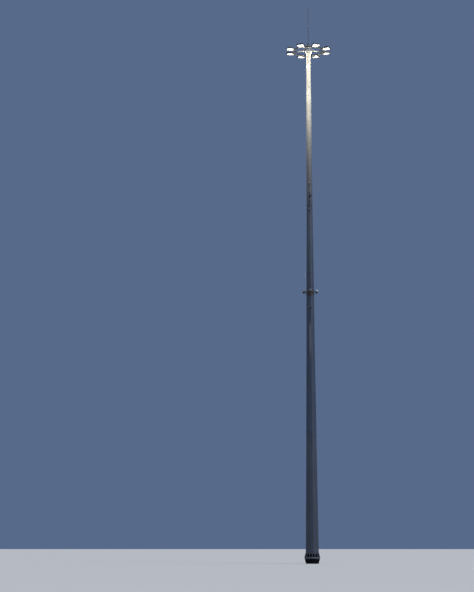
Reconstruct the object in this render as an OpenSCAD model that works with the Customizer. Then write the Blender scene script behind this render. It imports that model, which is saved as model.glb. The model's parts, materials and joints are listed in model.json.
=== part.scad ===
// High mast floodlight tower, a 1:2 model of a mast about 49 m tall. Millimetres, +Z up.
// The origin is the centre of the flat underside of the foundation stub, at ground level.
// The front is -Y, the access door is at the back, and the eight floodlights stand in a ring.

/* [Levels] */
// Top face of the foundation stub's flange, where the mast is bolted down
joint_z = 250; // [200:5:320]
// Lower edge of the second shaft section
slip_1_z = 5300; // [4800:10:5600]
// Lower edge of the third shaft section
slip_2_z = 10450; // [10000:10:10700]
// Lower edge of the top shaft section
slip_3_z = 15450; // [15000:10:16000]
// Top of the shaft
shaft_top_z = 22420; // [21500:10:22600]
// Height of the floodlights' tilt axes above the top of the shaft
ring_rise = 80; // [60:1:140]
// Underside of the upper band that carries the dome units
service_z = 11600; // [11200:5:12000]

/* [Shaft] */
// Number of flat sides, a multiple of four so that a flat faces each of the four arms
shaft_sides = 16; // [12:4:20]
// Width across flats at the foot
foot_d = 555; // [520:1:565]
// Width across flats of the second section's lower edge
slip_1_d = 441; // [420:1:455]
// Width across flats of the third section's lower edge
slip_2_d = 345; // [325:1:360]
// Width across flats of the top section's lower edge
slip_3_d = 262; // [245:1:275]
// Width across flats at the top
top_d = 184; // [170:1:200]
// Wall of the bottom section
wall_1 = 5; // [4:0.5:8]
// Wall of the second section
wall_2 = 4; // [3:0.5:6]
// Wall of the third section
wall_3 = 3.5; // [2.5:0.5:5]
// Wall of the top section
wall_4 = 3; // [2:0.5:4]
// Length that a section reaches up inside the next one, as a multiple of its width
lap_ratio = 1.5; // [1:0.1:2]
// Clearance between two sections in a slip joint
slip_gap = 0.3; // [0.2:0.1:1]

/* [Foot] */
// Diameter of both flanges
flange_d = 670; // [650:1:700]
// Thickness of each flange
flange_t = 26; // [16:1:34]
// How far a flange reaches inside the outer face of what stands on it
flange_in = 34; // [20:1:50]
// Bolt circle of the flange joint
bolt_pcd = 612; // [600:1:620]
// Diameter of the bolt holes
bolt_hole_d = 17; // [12:0.5:20]
// Height of the gussets above the joint
gusset_h = 195; // [120:5:260]
// Thickness of a gusset
gusset_t = 8; // [6:0.5:12]
// Height of a gusset's outer edge at the flange
gusset_toe = 14; // [8:1:30]
// Width of a gusset's end on the shaft or on the stub
gusset_nose = 6; // [4:1:12]
// Distance from a gusset's toe to the flange's edge
gusset_inset = 10; // [4:1:20]
// Diameter of the foundation stub
stub_d = 540; // [510:1:552]
// Wall of the foundation stub
stub_wall = 8; // [6:0.5:12]
// Thickness of the plate that closes the stub at ground level
stub_plate_t = 16; // [10:1:24]
// Height at which the stub's gussets begin
stub_gusset_z = 28; // [20:1:60]

/* [Access door] */
// Height of the door frame's lower edge above the joint
door_rise = 330; // [260:5:600]
// Width of the door frame
door_w = 170; // [140:1:190]
// Height of the door frame
door_h = 500; // [360:5:600]
// Width of the frame's bars
door_bar = 14; // [10:1:20]
// Depth of the frame
door_depth = 40; // [36:1:60]
// How far the frame stands out of the shaft at its lower edge
door_proud = 10; // [6:1:20]
// Thickness of the door
door_t = 5; // [3:0.5:8]
// Rim of the frame that the door leaves bare
door_rim = 3; // [1:0.5:6]
// Corner radius of the frame
door_corner = 26; // [18:1:50]

/* [Service collar] */
// Thickness of the two clamp bands
band_t = 6; // [4:0.5:10]
// Height of each clamp band
band_h = 50; // [36:1:64]
// Distance from the upper band's underside down to the lower band's underside
band_drop = 130; // [100:5:220]
// Gap between the two halves of a band, at their ears
ear_gap = 6; // [3:1:12]
// Length of a clamp ear
ear_len = 24; // [16:1:34]
// Thickness of a clamp ear
ear_t = 6; // [4:0.5:10]
// Diameter of the bolt holes in the ears
ear_hole_d = 9; // [6:0.5:11]
// Distance from the mast's axis to a dome unit
dome_r = 278; // [260:1:320]
// Width of an arm's square bar
arm_w = 18; // [12:1:24]
// Width of the pads at an arm's root and at its strut's
arm_pad_w = 40; // [30:1:56]
// Distance from a pad to the band's upper and lower edges
arm_pad_edge = 3; // [1:0.5:8]
// Diameter of a dome unit's hood
hood_d = 140; // [120:1:160]
// Height of a dome unit's hood
hood_h = 84; // [70:1:100]
// Height of the hood's sloping shoulder
hood_shoulder = 26; // [16:1:40]
// How far the lip at the hood's lower edge stands out
hood_lip = 3; // [1:0.5:6]
// Height of that lip
hood_lip_h = 8; // [4:1:16]
// Diameter of the dome
dome_d = 90; // [70:1:110]
// Height of the dome's straight collar, from the hood down
dome_neck = 52; // [40:1:70]

/* [Small units] */
// Middle height of the side antenna
antenna_z = 12360; // [12000:5:12600]
// Tangential width of the antenna
antenna_w = 62; // [40:1:80]
// Radial depth of the antenna
antenna_depth = 34; // [24:1:50]
// Height of the antenna
antenna_h = 200; // [140:1:260]
// Gap between the shaft and the antenna, filled by its bracket
antenna_off = 20; // [16:1:50]
// Middle height of the junction box
box_z = 10915; // [10800:5:11100]
// Width of the junction box
box_w = 130; // [90:1:150]
// Depth of the junction box
box_depth = 56; // [40:1:80]
// Height of the junction box
box_h = 84; // [60:1:120]
// Thickness of the junction box's backing plate
box_back_t = 6; // [4:1:10]
// Thickness of the junction box's lid
box_lid_t = 8; // [5:1:12]
// How far the lid stands out past the box all round
box_lid_over = 3; // [1:0.5:5]
// Diameter of the cable glands under the box
gland_d = 16; // [10:1:22]
// Length of a gland
gland_len = 16; // [10:1:24]

/* [Head] */
// Diameter of the head plate and of the drum's flange
head_d = 276; // [256:1:300]
// Thickness of the head plate and of the drum's flange
head_t = 11; // [8:1:16]
// Bolt circle of the head plate
head_pcd = 250; // [244:1:256]
// Diameter of the head plate's bolt holes
head_hole_d = 9; // [6:0.5:12]
// Number of bolts in the head plate
head_bolts = 8; // [4:4:12]
// Width across flats of the head drum
drum_d = 212; // [196:1:230]
// Wall of the head drum
drum_wall = 4; // [3:0.5:6]
// Height of the head drum
drum_h = 330; // [280:5:380]
// How far the hood's eaves stand out past the drum
eave = 16; // [8:1:26]
// Height of the hood's upright rim
hood_rim = 24; // [14:1:40]
// Height of the hood's cone
hood_cone = 52; // [30:1:80]
// Diameter of the hood's flat top
hood_top_d = 76; // [60:1:90]
// Thickness of the hood's sheet
hood_t = 3; // [2:0.5:5]
// Diameter of the lightning rod
rod_d = 22; // [14:1:26]
// Diameter of the lightning rod's upper length
rod_upper_d = 16; // [8:1:20]
// Length of the rod's thicker lower part
rod_lower_len = 860; // [600:10:1200]
// Length of the rod's thinner upper part, with its point
rod_upper_len = 850; // [400:10:1100]
// Height of the rod's socket above its foot
socket_h = 80; // [50:1:110]
// Diameter of the socket
socket_d = 36; // [30:1:42]
// Diameter of the socket's foot
socket_foot_d = 72; // [60:1:75]
// Thickness of the socket's foot
socket_foot_t = 8; // [5:1:12]

/* [Ring] */
// Height of the ring's channel section
channel_h = 60; // [50:1:80]
// Width of the channel's flanges
channel_w = 38; // [30:1:50]
// Thickness of the channel's web and flanges
channel_t = 5; // [4:0.5:8]
// Width of a spoke
spoke_w = 32; // [24:1:40]
// Height of a spoke
spoke_h = 44; // [36:1:48]
// Wall of a spoke
spoke_wall = 3; // [2:0.5:5]
// Height of the knee plate above a spoke
knee_h = 130; // [80:5:180]
// Length of the knee plate along a spoke
knee_len = 190; // [120:5:260]
// Thickness of the knee plate
knee_t = 6; // [4:0.5:10]
// Distance that a mounting pad's face stands out of the ring
pad_out = 8; // [6:1:14]
// Width of a mounting pad
pad_w = 96; // [80:1:120]
// Distance between the two bolt holes in a pad and in a stirrup's back
pad_pitch = 60; // [44:1:64]
// Diameter of those holes
pad_hole_d = 9; // [6:0.5:12]

/* [Floodlights] */
// Angle of the first floodlight from the +X direction
lamp_angle = 22.5; // [0:0.5:45]
// Distance from the mast's axis to a floodlight's tilt axis
lamp_r = 870; // [840:1:920]
// Angle that each floodlight is tilted outwards from straight down
lamp_tilt = 5; // [0:1:20]
// Tangential width of a housing
lamp_w = 320; // [280:1:340]
// Radial depth of a housing
lamp_l = 296; // [260:1:300]
// Height of the housing's body below the fins
lamp_body_h = 52; // [44:1:60]
// Corner radius of the housing
lamp_corner = 22; // [18:1:40]
// Height of the rim below the housing's shoulder
lamp_rim_h = 18; // [14:1:26]
// How far the body above the shoulder is set in from the rim
lamp_shoulder = 7; // [3:0.5:9]
// Wall of the housing above the ledge
lamp_wall = 5; // [3:0.5:8]
// Height of the cooling fins in the middle of the housing
fin_h = 40; // [32:1:46]
// How much lower the outermost fins are
fin_crown = 10; // [0:1:18]
// Length of a fin's sloping end
fin_slope = 26; // [10:1:40]
// Height of a fin's end at the foot of the slope
fin_toe = 7; // [3:1:14]
// Thickness of a fin
fin_t = 3; // [2:0.5:5]
// Number of fins
fin_count = 13; // [9:2:17]
// Distance from the fins' ends to the housing's edges
fin_inset = 14; // [8:1:30]
// Width of the gear box that stands among the fins
gear_w = 110; // [80:1:140]
// Length of the gear box
gear_l = 150; // [110:1:180]
// Height of the gear box up to its lid
gear_h = 26; // [18:1:28]
// Corner radius of the gear box
gear_corner = 12; // [6:1:20]
// Thickness of the gear box's lid
gear_lid_t = 5; // [3:0.5:8]
// How far the lid stands out past the gear box all round
gear_lid_over = 3; // [1:0.5:5]
// Diameter of the gear box's cable gland, which lies between two fins
gear_gland_d = 14; // [8:1:16]
// Length of that gland
gear_gland_len = 18; // [10:1:30]
// Width of the rim around the glass
rim_w = 16; // [12:1:24]
// Depth of the glass below the rim's face
glass_recess = 2; // [1:0.5:4]
// Thickness of the glass
glass_t = 5; // [4:0.5:8]
// Thickness of the housing's top above its hollow
lamp_top_t = 6; // [4:0.5:10]
// Width of the ledge that the glass rests against
ledge_w = 4; // [2:0.5:8]
// Thickness of that ledge
ledge_t = 3; // [2:0.5:6]

/* [Stirrups] */
// Thickness of a stirrup's flat bar
strap_t = 6; // [5:0.5:9]
// Width of a stirrup's flat bar
strap_h = 40; // [34:1:50]
// Inner radius of a stirrup's two bends
bend_r = 12; // [6:1:20]
// Gap between the housing and a stirrup's leg
side_gap = 6; // [5:0.5:10]
// Gap between a tilting housing's corners and the stirrup's back
back_gap = 16; // [6:1:24]
// Diameter of the pivot pins
pin_d = 10; // [8:1:16]
// Radial clearance of a pin in its bore
pin_gap = 0.05; // [0.02:0.01:0.1]
// Diameter of the washers and the lock knobs on the pins
knob_d = 24; // [18:1:30]
// Thickness of a lock knob
knob_t = 8; // [5:1:12]
// Running gap of the washers and knobs against the leg
run_gap = 0.3; // [0.2:0.1:1]

/* [Hidden] */
$fn = 48;
// Number of floodlights in the ring, which the list of nodes follows
lamp_count = 8;
// Overlap of solids that are fused in one node
weld = 1;
galvanised = "#6a7078";
black_coat = "#15171b";
pale_grey = "#d8dadb";
dark_grey = "#2b2e33";

// Shaft: each section is given by its lower edge, its width there and its wall
base_z = joint_z + flange_t;
sec_z = [base_z, slip_1_z, slip_2_z, slip_3_z, shaft_top_z];
sec_d = [foot_d, slip_1_d, slip_2_d, slip_3_d, top_d];
sec_wall = [wall_1, wall_2, wall_3, wall_4, 0];
side_step = 360 / shaft_sides;
// Width across flats that section i has where section i + 1 begins around it
function main_top_d(i) = sec_d[i + 1] - 2 * sec_wall[i + 1] - (i < 3 ? 2 * slip_gap : 0);
function main_d(i, z) =
    sec_d[i] + (main_top_d(i) - sec_d[i]) * (z - sec_z[i]) / (sec_z[i + 1] - sec_z[i]);
// Outer width of the shaft at a height, as seen from outside
function shaft_d(z) =
    main_d(z < slip_1_z ? 0 : z < slip_2_z ? 1 : z < slip_3_z ? 2 : 3, z);

// Corners of the shaft's cross-section, with a flat facing +X
function corners(d) = [for (k = [0:shaft_sides - 1])
    d / 2 / cos(side_step / 2) * [cos((k + 0.5) * side_step), sin((k + 0.5) * side_step)]];

module flats(d) {
    polygon(corners(d));
}

// Hollow many-sided solid through levels of [height, outer width, inner width]
module shell(levels) {
    up = [for (v = levels) [v[0], v[1]]];
    down = [for (i = [len(levels) - 1:-1:0]) [levels[i][0], levels[i][2]]];
    rings = concat(up, down);
    n = shaft_sides;
    polyhedron(
        [for (v = rings, p = corners(v[1])) [p[0], p[1], v[0]]],
        [for (i = [0:len(rings) - 1], k = [0:n - 1])
            let (j = (i + 1) % len(rings), m = (k + 1) % n)
            [i * n + k, j * n + k, j * n + m, i * n + m]]
    );
}

// Outer width of section i where it reaches up inside section i + 1
function lap_d(i, z) = main_d(i + 1, z) - 2 * sec_wall[i + 1] - 2 * slip_gap;

module shaft_section(i) {
    wall = 2 * sec_wall[i];
    foot = [sec_z[i], sec_d[i], sec_d[i] - wall];
    main_top = [sec_z[i + 1], main_top_d(i), main_top_d(i) - wall];
    if (i < 3) {
        lap_z = sec_z[i + 1] + lap_ratio * sec_d[i + 1];
        shell([foot, main_top, [lap_z, lap_d(i, lap_z), lap_d(i, lap_z) - wall]]);
    } else
        shell([foot, main_top]);
}

// Foot
module bolt_ring(z0, z1, pcd, d, count) {
    for (k = [0:count - 1])
        rotate([0, 0, (k + 0.5) * 360 / count])
            translate([pcd / 2, 0, z0 - weld]) cylinder(d = d, h = z1 - z0 + 2 * weld);
}

module flange(z0) {
    difference() {
        translate([0, 0, z0]) cylinder(d = flange_d, h = flange_t, $fn = 96);
        translate([0, 0, z0 - weld])
            cylinder(d = foot_d - 2 * flange_in, h = flange_t + 2 * weld, $fn = 96);
        bolt_ring(z0, z0 + flange_t, bolt_pcd, bolt_hole_d, shaft_sides);
    }
}

module around(points, thickness) {
    for (k = [0:shaft_sides - 1])
        rotate([90, 0, k * side_step])
            translate([0, 0, -thickness / 2]) linear_extrude(thickness) polygon(points);
}

module foundation_stub() {
    toe_r = flange_d / 2 - gusset_inset;
    top = joint_z - flange_t;
    color(black_coat) {
        flange(top);
        difference() {
            cylinder(d = stub_d, h = top + weld, $fn = 96);
            translate([0, 0, stub_plate_t])
                cylinder(d = stub_d - 2 * stub_wall, h = joint_z, $fn = 96);
        }
        around([
            [stub_d / 2 - weld, stub_gusset_z], [stub_d / 2 + gusset_nose, stub_gusset_z],
            [toe_r, top - gusset_toe], [toe_r, top + weld], [stub_d / 2 - weld, top + weld]
        ], gusset_t);
    }
}

module base_flange() {
    toe_r = flange_d / 2 - gusset_inset;
    top = base_z + gusset_h;
    top_r = shaft_d(top) / 2;
    color(galvanised) {
        flange(joint_z);
        around([
            [foot_d / 2, base_z], [foot_d / 2, base_z - weld], [toe_r, base_z - weld],
            [toe_r, base_z + gusset_toe], [top_r + gusset_nose, top], [top_r, top]
        ], gusset_t);
    }
}

// Access door at the back of the bottom section
door_z = joint_z + door_rise;
door_out_y = shaft_d(door_z) / 2 + door_proud;

// Upright block with round corners, set in from the frame's outline by inset, between two depths
module door_block(inset, y0, y1) {
    translate([door_w / 2 - inset, y0, door_z + inset]) rotate([90, 0, 180]) linear_extrude(y1 - y0)
        rounded(door_w - 2 * inset, door_h - 2 * inset, door_corner - inset);
}

module shaft_section_1() {
    color(galvanised) difference() {
        shaft_section(0);
        door_block(0, door_out_y - door_depth, door_out_y + weld);
    }
}

module shaft_section_2() {
    color(galvanised) shaft_section(1);
}

module shaft_section_3() {
    color(galvanised) shaft_section(2);
}

module shaft_section_4() {
    color(galvanised) shaft_section(3);
}

module door_frame() {
    color(galvanised) difference() {
        door_block(0, door_out_y - door_depth, door_out_y);
        door_block(door_bar, door_out_y - door_depth - weld, door_out_y + weld);
    }
}

module access_door() {
    color(galvanised) door_block(door_rim, door_out_y, door_out_y + door_t);
}

// Service collar: two clamp bands in halves, and four arms with struts
low_band_z = service_z - band_drop;

module band(z) {
    low_d = shaft_d(z);
    high_d = shaft_d(z + band_h);
    color(galvanised) difference() {
        union() {
            shell([[z, low_d + 2 * band_t, low_d], [z + band_h, high_d + 2 * band_t, high_d]]);
            for (turn = [0:1]) rotate([0, 0, 45 + 180 * turn])
                translate([low_d / 2 + band_t / 2, -ear_gap / 2 - ear_t, z])
                    cube([band_t / 2 + ear_len, ear_gap + 2 * ear_t, band_h]);
        }
        rotate([0, 0, 45]) translate([-low_d, -ear_gap / 2, z - weld])
            cube([2 * low_d, ear_gap, band_h + 2 * weld]);
        for (turn = [0:1]) rotate([0, 0, 45 + 180 * turn])
            translate([low_d / 2 + band_t + ear_len / 2, 0, z + band_h / 2]) rotate([90, 0, 0])
                cylinder(d = ear_hole_d, h = 2 * (ear_gap + 2 * ear_t), center = true);
    }
}

module upper_band() {
    band(service_z);
}

module lower_band() {
    band(low_band_z);
}

module dome_arms() {
    arm_z = service_z + band_h / 2;
    end_r = dome_r - dome_d / 2;
    root_up = shaft_d(service_z) / 2 + band_t;
    root_low = shaft_d(low_band_z) / 2 + band_t;
    hood_edge = dome_r - hood_d / 2;
    pad_t = ear_t;
    pad_h = band_h - 2 * arm_pad_edge;
    strut_z = low_band_z + band_h / 2;
    color(galvanised) for (k = [0:3]) rotate([0, 0, 90 * k]) {
        translate([root_up, -arm_pad_w / 2, arm_z - pad_h / 2]) cube([pad_t, arm_pad_w, pad_h]);
        translate([root_up + weld, -arm_w / 2, arm_z - arm_w / 2])
            cube([end_r - root_up - weld, arm_w, arm_w]);
        translate([root_low, -arm_pad_w / 2, strut_z - pad_h / 2]) cube([pad_t, arm_pad_w, pad_h]);
        rotate([90, 0, 0]) translate([0, 0, -arm_w / 3]) linear_extrude(2 * arm_w / 3)
            polygon([
                [root_low + pad_t - weld, strut_z - arm_w / 2],
                [root_low + pad_t + weld, strut_z - arm_w / 2],
                [hood_edge + weld, arm_z - arm_w / 2 + weld],
                [hood_edge - arm_w, arm_z - arm_w / 2 + weld],
                [root_low + pad_t - weld, strut_z + arm_w / 2]
            ]);
    }
}

hood_z = service_z + band_h / 2 + arm_w / 2;

module dome_hoods() {
    color(pale_grey) for (k = [0:3]) rotate([0, 0, 90 * k]) translate([dome_r, 0, hood_z])
        rotate_extrude() polygon([
            [0, 0], [hood_d / 2 + hood_lip, 0], [hood_d / 2 + hood_lip, hood_lip_h],
            [hood_d / 2, hood_lip_h + hood_lip], [hood_d / 2, hood_h - hood_shoulder],
            [hood_d / 2 - hood_shoulder / 2, hood_h - hood_shoulder / 3],
            [hood_d / 4, hood_h], [0, hood_h]
        ]);
}

module domes() {
    color(dark_grey) for (k = [0:3]) rotate([0, 0, 90 * k])
        translate([dome_r, 0, hood_z - dome_neck]) {
            cylinder(d = dome_d, h = dome_neck);
            intersection() {
                sphere(d = dome_d);
                translate([0, 0, -dome_d / 2]) cube([dome_d, dome_d, dome_d + 2 * weld], center = true);
            }
        }
}

// Antenna on the left of the shaft, and the junction box in front
module at_flat(z, turn) {
    rotate([0, 0, turn]) translate([shaft_d(z) / 2, 0, 0]) children();
}

module antenna_bracket() {
    low = antenna_z - antenna_h / 4;
    color(galvanised) at_flat(low, 180) {
        translate([0, -antenna_w / 4, low]) cube([ear_t, antenna_w / 2, antenna_h / 2]);
        for (z = [low, low + antenna_h / 2 - ear_t])
            translate([ear_t - weld, -antenna_w / 4, z])
                cube([antenna_off - ear_t + weld, antenna_w / 2, ear_t]);
    }
}

module side_antenna() {
    low = antenna_z - antenna_h / 4;
    radius = antenna_depth / 4;
    color(pale_grey) at_flat(low, 180)
        translate([antenna_off, -antenna_w / 2, antenna_z - antenna_h / 2])
            linear_extrude(antenna_h) rounded(antenna_depth, antenna_w, radius);
}

// Rectangle with round corners, from the origin
module rounded(x, y, r) {
    translate([r, 0]) square([x - 2 * r, y]);
    translate([0, r]) square([x, y - 2 * r]);
    for (cx = [r, x - r], cy = [r, y - r]) translate([cx, cy]) circle(r);
}

module junction_box() {
    low = box_z - box_h / 2;
    color(dark_grey) at_flat(low, 270) {
        translate([0, -box_w / 2 + box_back_t, low]) cube([box_back_t, box_w - 2 * box_back_t, box_h]);
        translate([box_back_t - weld, -box_w / 2, low + box_back_t])
            cube([box_depth - box_lid_t - box_back_t + weld, box_w, box_h - 2 * box_back_t]);
        translate([box_depth - box_lid_t, -box_w / 2 - box_lid_over, low + box_back_t - box_lid_over])
            cube([box_lid_t, box_w + 2 * box_lid_over, box_h - 2 * box_back_t + 2 * box_lid_over]);
        for (side = [-1, 0, 1])
            translate([box_depth / 2, side * box_w / 4, low + box_back_t - gland_len])
                cylinder(d = gland_d, h = gland_len + weld);
    }
}

// Head: plate on the shaft, drum with its flange, hood, rod socket and lightning rod
drum_z = shaft_top_z + head_t;
drum_top = drum_z + drum_h;
hood_top = drum_top + hood_cone;

module head_disc(z) {
    difference() {
        translate([0, 0, z]) cylinder(d = head_d, h = head_t, $fn = 72);
        translate([0, 0, z - weld]) cylinder(d = top_d - 4 * wall_4, h = head_t + 2 * weld, $fn = 72);
        bolt_ring(z, z + head_t, head_pcd, head_hole_d, head_bolts);
    }
}

module head_plate() {
    color(galvanised) head_disc(shaft_top_z);
}

module head_drum() {
    color(galvanised) {
        head_disc(drum_z);
        difference() {
            translate([0, 0, drum_z + weld]) linear_extrude(drum_h - weld) flats(drum_d);
            translate([0, 0, drum_z]) linear_extrude(drum_h + weld) flats(drum_d - 2 * drum_wall);
        }
    }
}

module head_hood() {
    r = drum_d / 2 / cos(side_step / 2) + eave;
    top_r = hood_top_d / 2;
    // The sheet thickens into a seat where it rests on the drum's wall
    seat_r = drum_d / 2 - 2 * drum_wall;
    seat_top = hood_t + (hood_cone - hood_t) * (r - seat_r) / (r - top_r);
    color(galvanised) translate([0, 0, drum_top]) rotate_extrude($fn = 72) polygon([
        [r - hood_t, 0], [r - hood_t, -hood_rim], [r, -hood_rim], [r, hood_t],
        [top_r, hood_cone], [0, hood_cone], [0, hood_cone - hood_t], [top_r, hood_cone - hood_t],
        [seat_r, seat_top - hood_t], [seat_r, 0]
    ]);
}

module rod_socket() {
    color(galvanised) difference() {
        translate([0, 0, hood_top]) {
            cylinder(d = socket_foot_d, h = socket_foot_t);
            cylinder(d = socket_d, h = socket_h);
        }
        translate([0, 0, hood_top + socket_foot_t])
            cylinder(d = rod_d + 2 * pin_gap, h = socket_h);
    }
}

module lightning_rod() {
    foot = hood_top + socket_foot_t;
    upper = foot + rod_lower_len;
    tip = upper + rod_upper_len;
    color(dark_grey) rotate_extrude() polygon([
        [0, foot], [rod_d / 2, foot], [rod_d / 2, upper - rod_d], [rod_upper_d / 2, upper],
        [rod_upper_d / 2, tip - 3 * rod_upper_d], [0, tip]
    ]);
}

// Ring of channel section with a flat pad for each floodlight's stirrup
ring_z = shaft_top_z + ring_rise;
lamp_step = 360 / lamp_count;
// The tilt axis is at mid-height of the housing's body, so the fins' upper corners swing widest
swing_r = norm([lamp_l / 2, lamp_body_h / 2 + fin_h]);
strap_r = lamp_r - swing_r - back_gap;
pad_r = strap_r - strap_t;
ring_r = pad_r - pad_out;
web_in_r = ring_r - channel_t;

module lamp_ring() {
    color(galvanised) difference() {
        ring_body();
        for (k = [1:lamp_count]) at_lamp(k)
            pad_bores(web_in_r - lamp_r - channel_w / 2, pad_r - lamp_r + weld);
    }
}

module ring_body() {
    union() {
        translate([0, 0, ring_z - channel_h / 2]) rotate_extrude($fn = 96) polygon([
            [ring_r - channel_w, 0], [ring_r, 0], [ring_r, channel_h],
            [ring_r - channel_w, channel_h], [ring_r - channel_w, channel_h - channel_t],
            [web_in_r, channel_h - channel_t], [web_in_r, channel_t],
            [ring_r - channel_w, channel_t]
        ]);
        for (k = [0:lamp_count - 1]) rotate([0, 0, lamp_angle + k * lamp_step])
            translate([web_in_r + weld, -pad_w / 2, ring_z - channel_h / 2])
                cube([pad_r - web_in_r - weld, pad_w, channel_h]);
    }
}

// Bores through a pad, the ring's web and a stirrup's back, from one radius out to another
module pad_bores(from, to) {
    for (side = [-1, 1]) translate([from, side * pad_pitch / 2, 0]) rotate([0, 90, 0])
        cylinder(d = pad_hole_d, h = to - from);
}

module ring_spokes() {
    root_r = drum_d / 2;
    end_r = web_in_r * cos(asin(spoke_w / 2 / web_in_r));
    knee_z = ring_z + spoke_h / 2;
    color(galvanised) for (k = [0:3]) rotate([0, 0, 90 * k]) {
        difference() {
            translate([root_r, -spoke_w / 2, ring_z - spoke_h / 2])
                cube([end_r - root_r, spoke_w, spoke_h]);
            translate([root_r - weld, -spoke_w / 2 + spoke_wall, ring_z - spoke_h / 2 + spoke_wall])
                cube([end_r - root_r + 2 * weld, spoke_w - 2 * spoke_wall, spoke_h - 2 * spoke_wall]);
        }
        rotate([90, 0, 0]) translate([0, 0, -knee_t / 2]) linear_extrude(knee_t) polygon([
            [root_r, knee_z - weld], [root_r + knee_len, knee_z - weld],
            [root_r + knee_len, knee_z + knee_t], [root_r + 2 * knee_t, knee_z + knee_h],
            [root_r, knee_z + knee_h]
        ]);
    }
}

// Stirrups and floodlights, drawn at the tilt axis with +X pointing away from the mast
leg_y = lamp_w / 2 + side_gap;

module at_lamp(k) {
    rotate([0, 0, lamp_angle + (k - 1) * lamp_step]) translate([lamp_r, 0, ring_z]) children();
}

// Flat shape that reaches back from the tilt axis, with its two far corners rounded
module bent(back, half, r) {
    translate([-back, r - half]) square([back, 2 * (half - r)]);
    translate([r - back, -half]) square([back - r, 2 * half]);
    for (side = [-1, 1]) translate([r - back, side * (half - r)]) circle(r);
}

module stirrup() {
    back = lamp_r - strap_r;
    difference() {
        union() {
            translate([0, 0, -strap_h / 2]) linear_extrude(strap_h) difference() {
                bent(back + strap_t, leg_y + strap_t, bend_r + strap_t);
                union() {
                    bent(back, leg_y, bend_r);
                    translate([-weld, -leg_y]) square([2 * weld, 2 * leg_y]);
                }
            }
            for (side = [-1, 1]) translate([0, side * (leg_y + strap_t / 2), 0]) rotate([90, 0, 0])
                cylinder(d = strap_h, h = strap_t, center = true);
        }
        rotate([90, 0, 0]) cylinder(d = pin_d + 2 * pin_gap, h = lamp_w * 2, center = true);
        pad_bores(-back - strap_t - weld, -back + weld);
    }
}

module stirrups() {
    color(galvanised) for (k = [1:lamp_count]) at_lamp(k) stirrup();
}

module tray(w_less, z0, z1) {
    translate([-lamp_l / 2 + w_less, -lamp_w / 2 + w_less, z0]) linear_extrude(z1 - z0)
        rounded(lamp_l - 2 * w_less, lamp_w - 2 * w_less, lamp_corner - w_less / 2);
}

// Cooling fins: the middle ones are the highest, and each has sloping ends
module fins(z) {
    pitch = (lamp_w - 2 * fin_inset - fin_t) / (fin_count - 1);
    middle = (fin_count - 1) / 2;
    half = lamp_l / 2 - fin_inset;
    for (k = [0:fin_count - 1]) {
        top = fin_h - fin_crown * pow(abs(k - middle) / middle, 2);
        translate([0, (k - middle) * pitch + fin_t / 2, z]) rotate([90, 0, 0]) linear_extrude(fin_t)
            polygon([
                [-half, -weld], [half, -weld], [half, fin_toe], [half - fin_slope, top],
                [fin_slope - half, top], [-half, fin_toe]
            ]);
    }
}

// Gear box among the fins, with its lid and a cable gland towards the mast
module gear_box(z) {
    lid_l = gear_l + 2 * gear_lid_over;
    lid_w = gear_w + 2 * gear_lid_over;
    between_fins = (lamp_w - 2 * fin_inset - fin_t) / (fin_count - 1) / 2;
    translate([-gear_l / 2, -gear_w / 2, z - weld]) linear_extrude(gear_h + weld)
        rounded(gear_l, gear_w, gear_corner);
    translate([-lid_l / 2, -lid_w / 2, z + gear_h]) linear_extrude(gear_lid_t)
        rounded(lid_l, lid_w, gear_corner + gear_lid_over);
    translate([-gear_l / 2 - gear_gland_len, between_fins, z + gear_h / 2]) rotate([0, 90, 0])
        cylinder(d = gear_gland_d, h = gear_gland_len + gear_corner);
}

// Pins with the washers inside the stirrup's legs and the lock knobs outside them
module pivots() {
    for (side = [-1, 1]) rotate([side * 90, 0, 0]) translate([0, 0, lamp_w / 2 - lamp_shoulder]) {
        inner = lamp_shoulder + side_gap;
        translate([0, 0, -weld]) cylinder(d = knob_d, h = inner - run_gap + weld);
        translate([0, 0, -weld]) cylinder(d = pin_d, h = inner + strap_t + run_gap + knob_t + weld);
        translate([0, 0, inner + strap_t + run_gap]) cylinder(d = knob_d, h = knob_t);
    }
}

module housing() {
    low = -lamp_body_h / 2;
    top = lamp_body_h / 2;
    seat = low + glass_recess + glass_t;
    difference() {
        union() {
            tray(0, low, low + lamp_rim_h);
            tray(lamp_shoulder, low + lamp_rim_h - weld, top);
        }
        tray(rim_w, low - weld, seat);
        tray(rim_w + ledge_w, low, seat + ledge_t + weld);
        tray(lamp_shoulder + lamp_wall, seat + ledge_t, top - lamp_top_t);
    }
    fins(top);
    gear_box(top);
    pivots();
}

module lamp_housing(k) {
    color(dark_grey) at_lamp(k) rotate([0, -lamp_tilt, 0]) housing();
}

module lamp_glass(k) {
    low = -lamp_body_h / 2 + glass_recess;
    color("white", 0.5) at_lamp(k) rotate([0, -lamp_tilt, 0]) tray(rim_w, low, low + glass_t);
}

foundation_stub();
base_flange();
shaft_section_1();
shaft_section_2();
shaft_section_3();
shaft_section_4();
door_frame();
access_door();
upper_band();
lower_band();
dome_arms();
dome_hoods();
domes();
side_antenna();
antenna_bracket();
junction_box();
head_plate();
head_drum();
head_hood();
rod_socket();
lightning_rod();
lamp_ring();
ring_spokes();
stirrups();
lamp_housing(1);  // lamp_1_housing
lamp_glass(1);  // lamp_1_glass
lamp_housing(2);  // lamp_2_housing
lamp_glass(2);  // lamp_2_glass
lamp_housing(3);  // lamp_3_housing
lamp_glass(3);  // lamp_3_glass
lamp_housing(4);  // lamp_4_housing
lamp_glass(4);  // lamp_4_glass
lamp_housing(5);  // lamp_5_housing
lamp_glass(5);  // lamp_5_glass
lamp_housing(6);  // lamp_6_housing
lamp_glass(6);  // lamp_6_glass
lamp_housing(7);  // lamp_7_housing
lamp_glass(7);  // lamp_7_glass
lamp_housing(8);  // lamp_8_housing
lamp_glass(8);  // lamp_8_glass
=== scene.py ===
import json
from math import atan2, cos, pi, radians, sin, sqrt, tan

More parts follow.
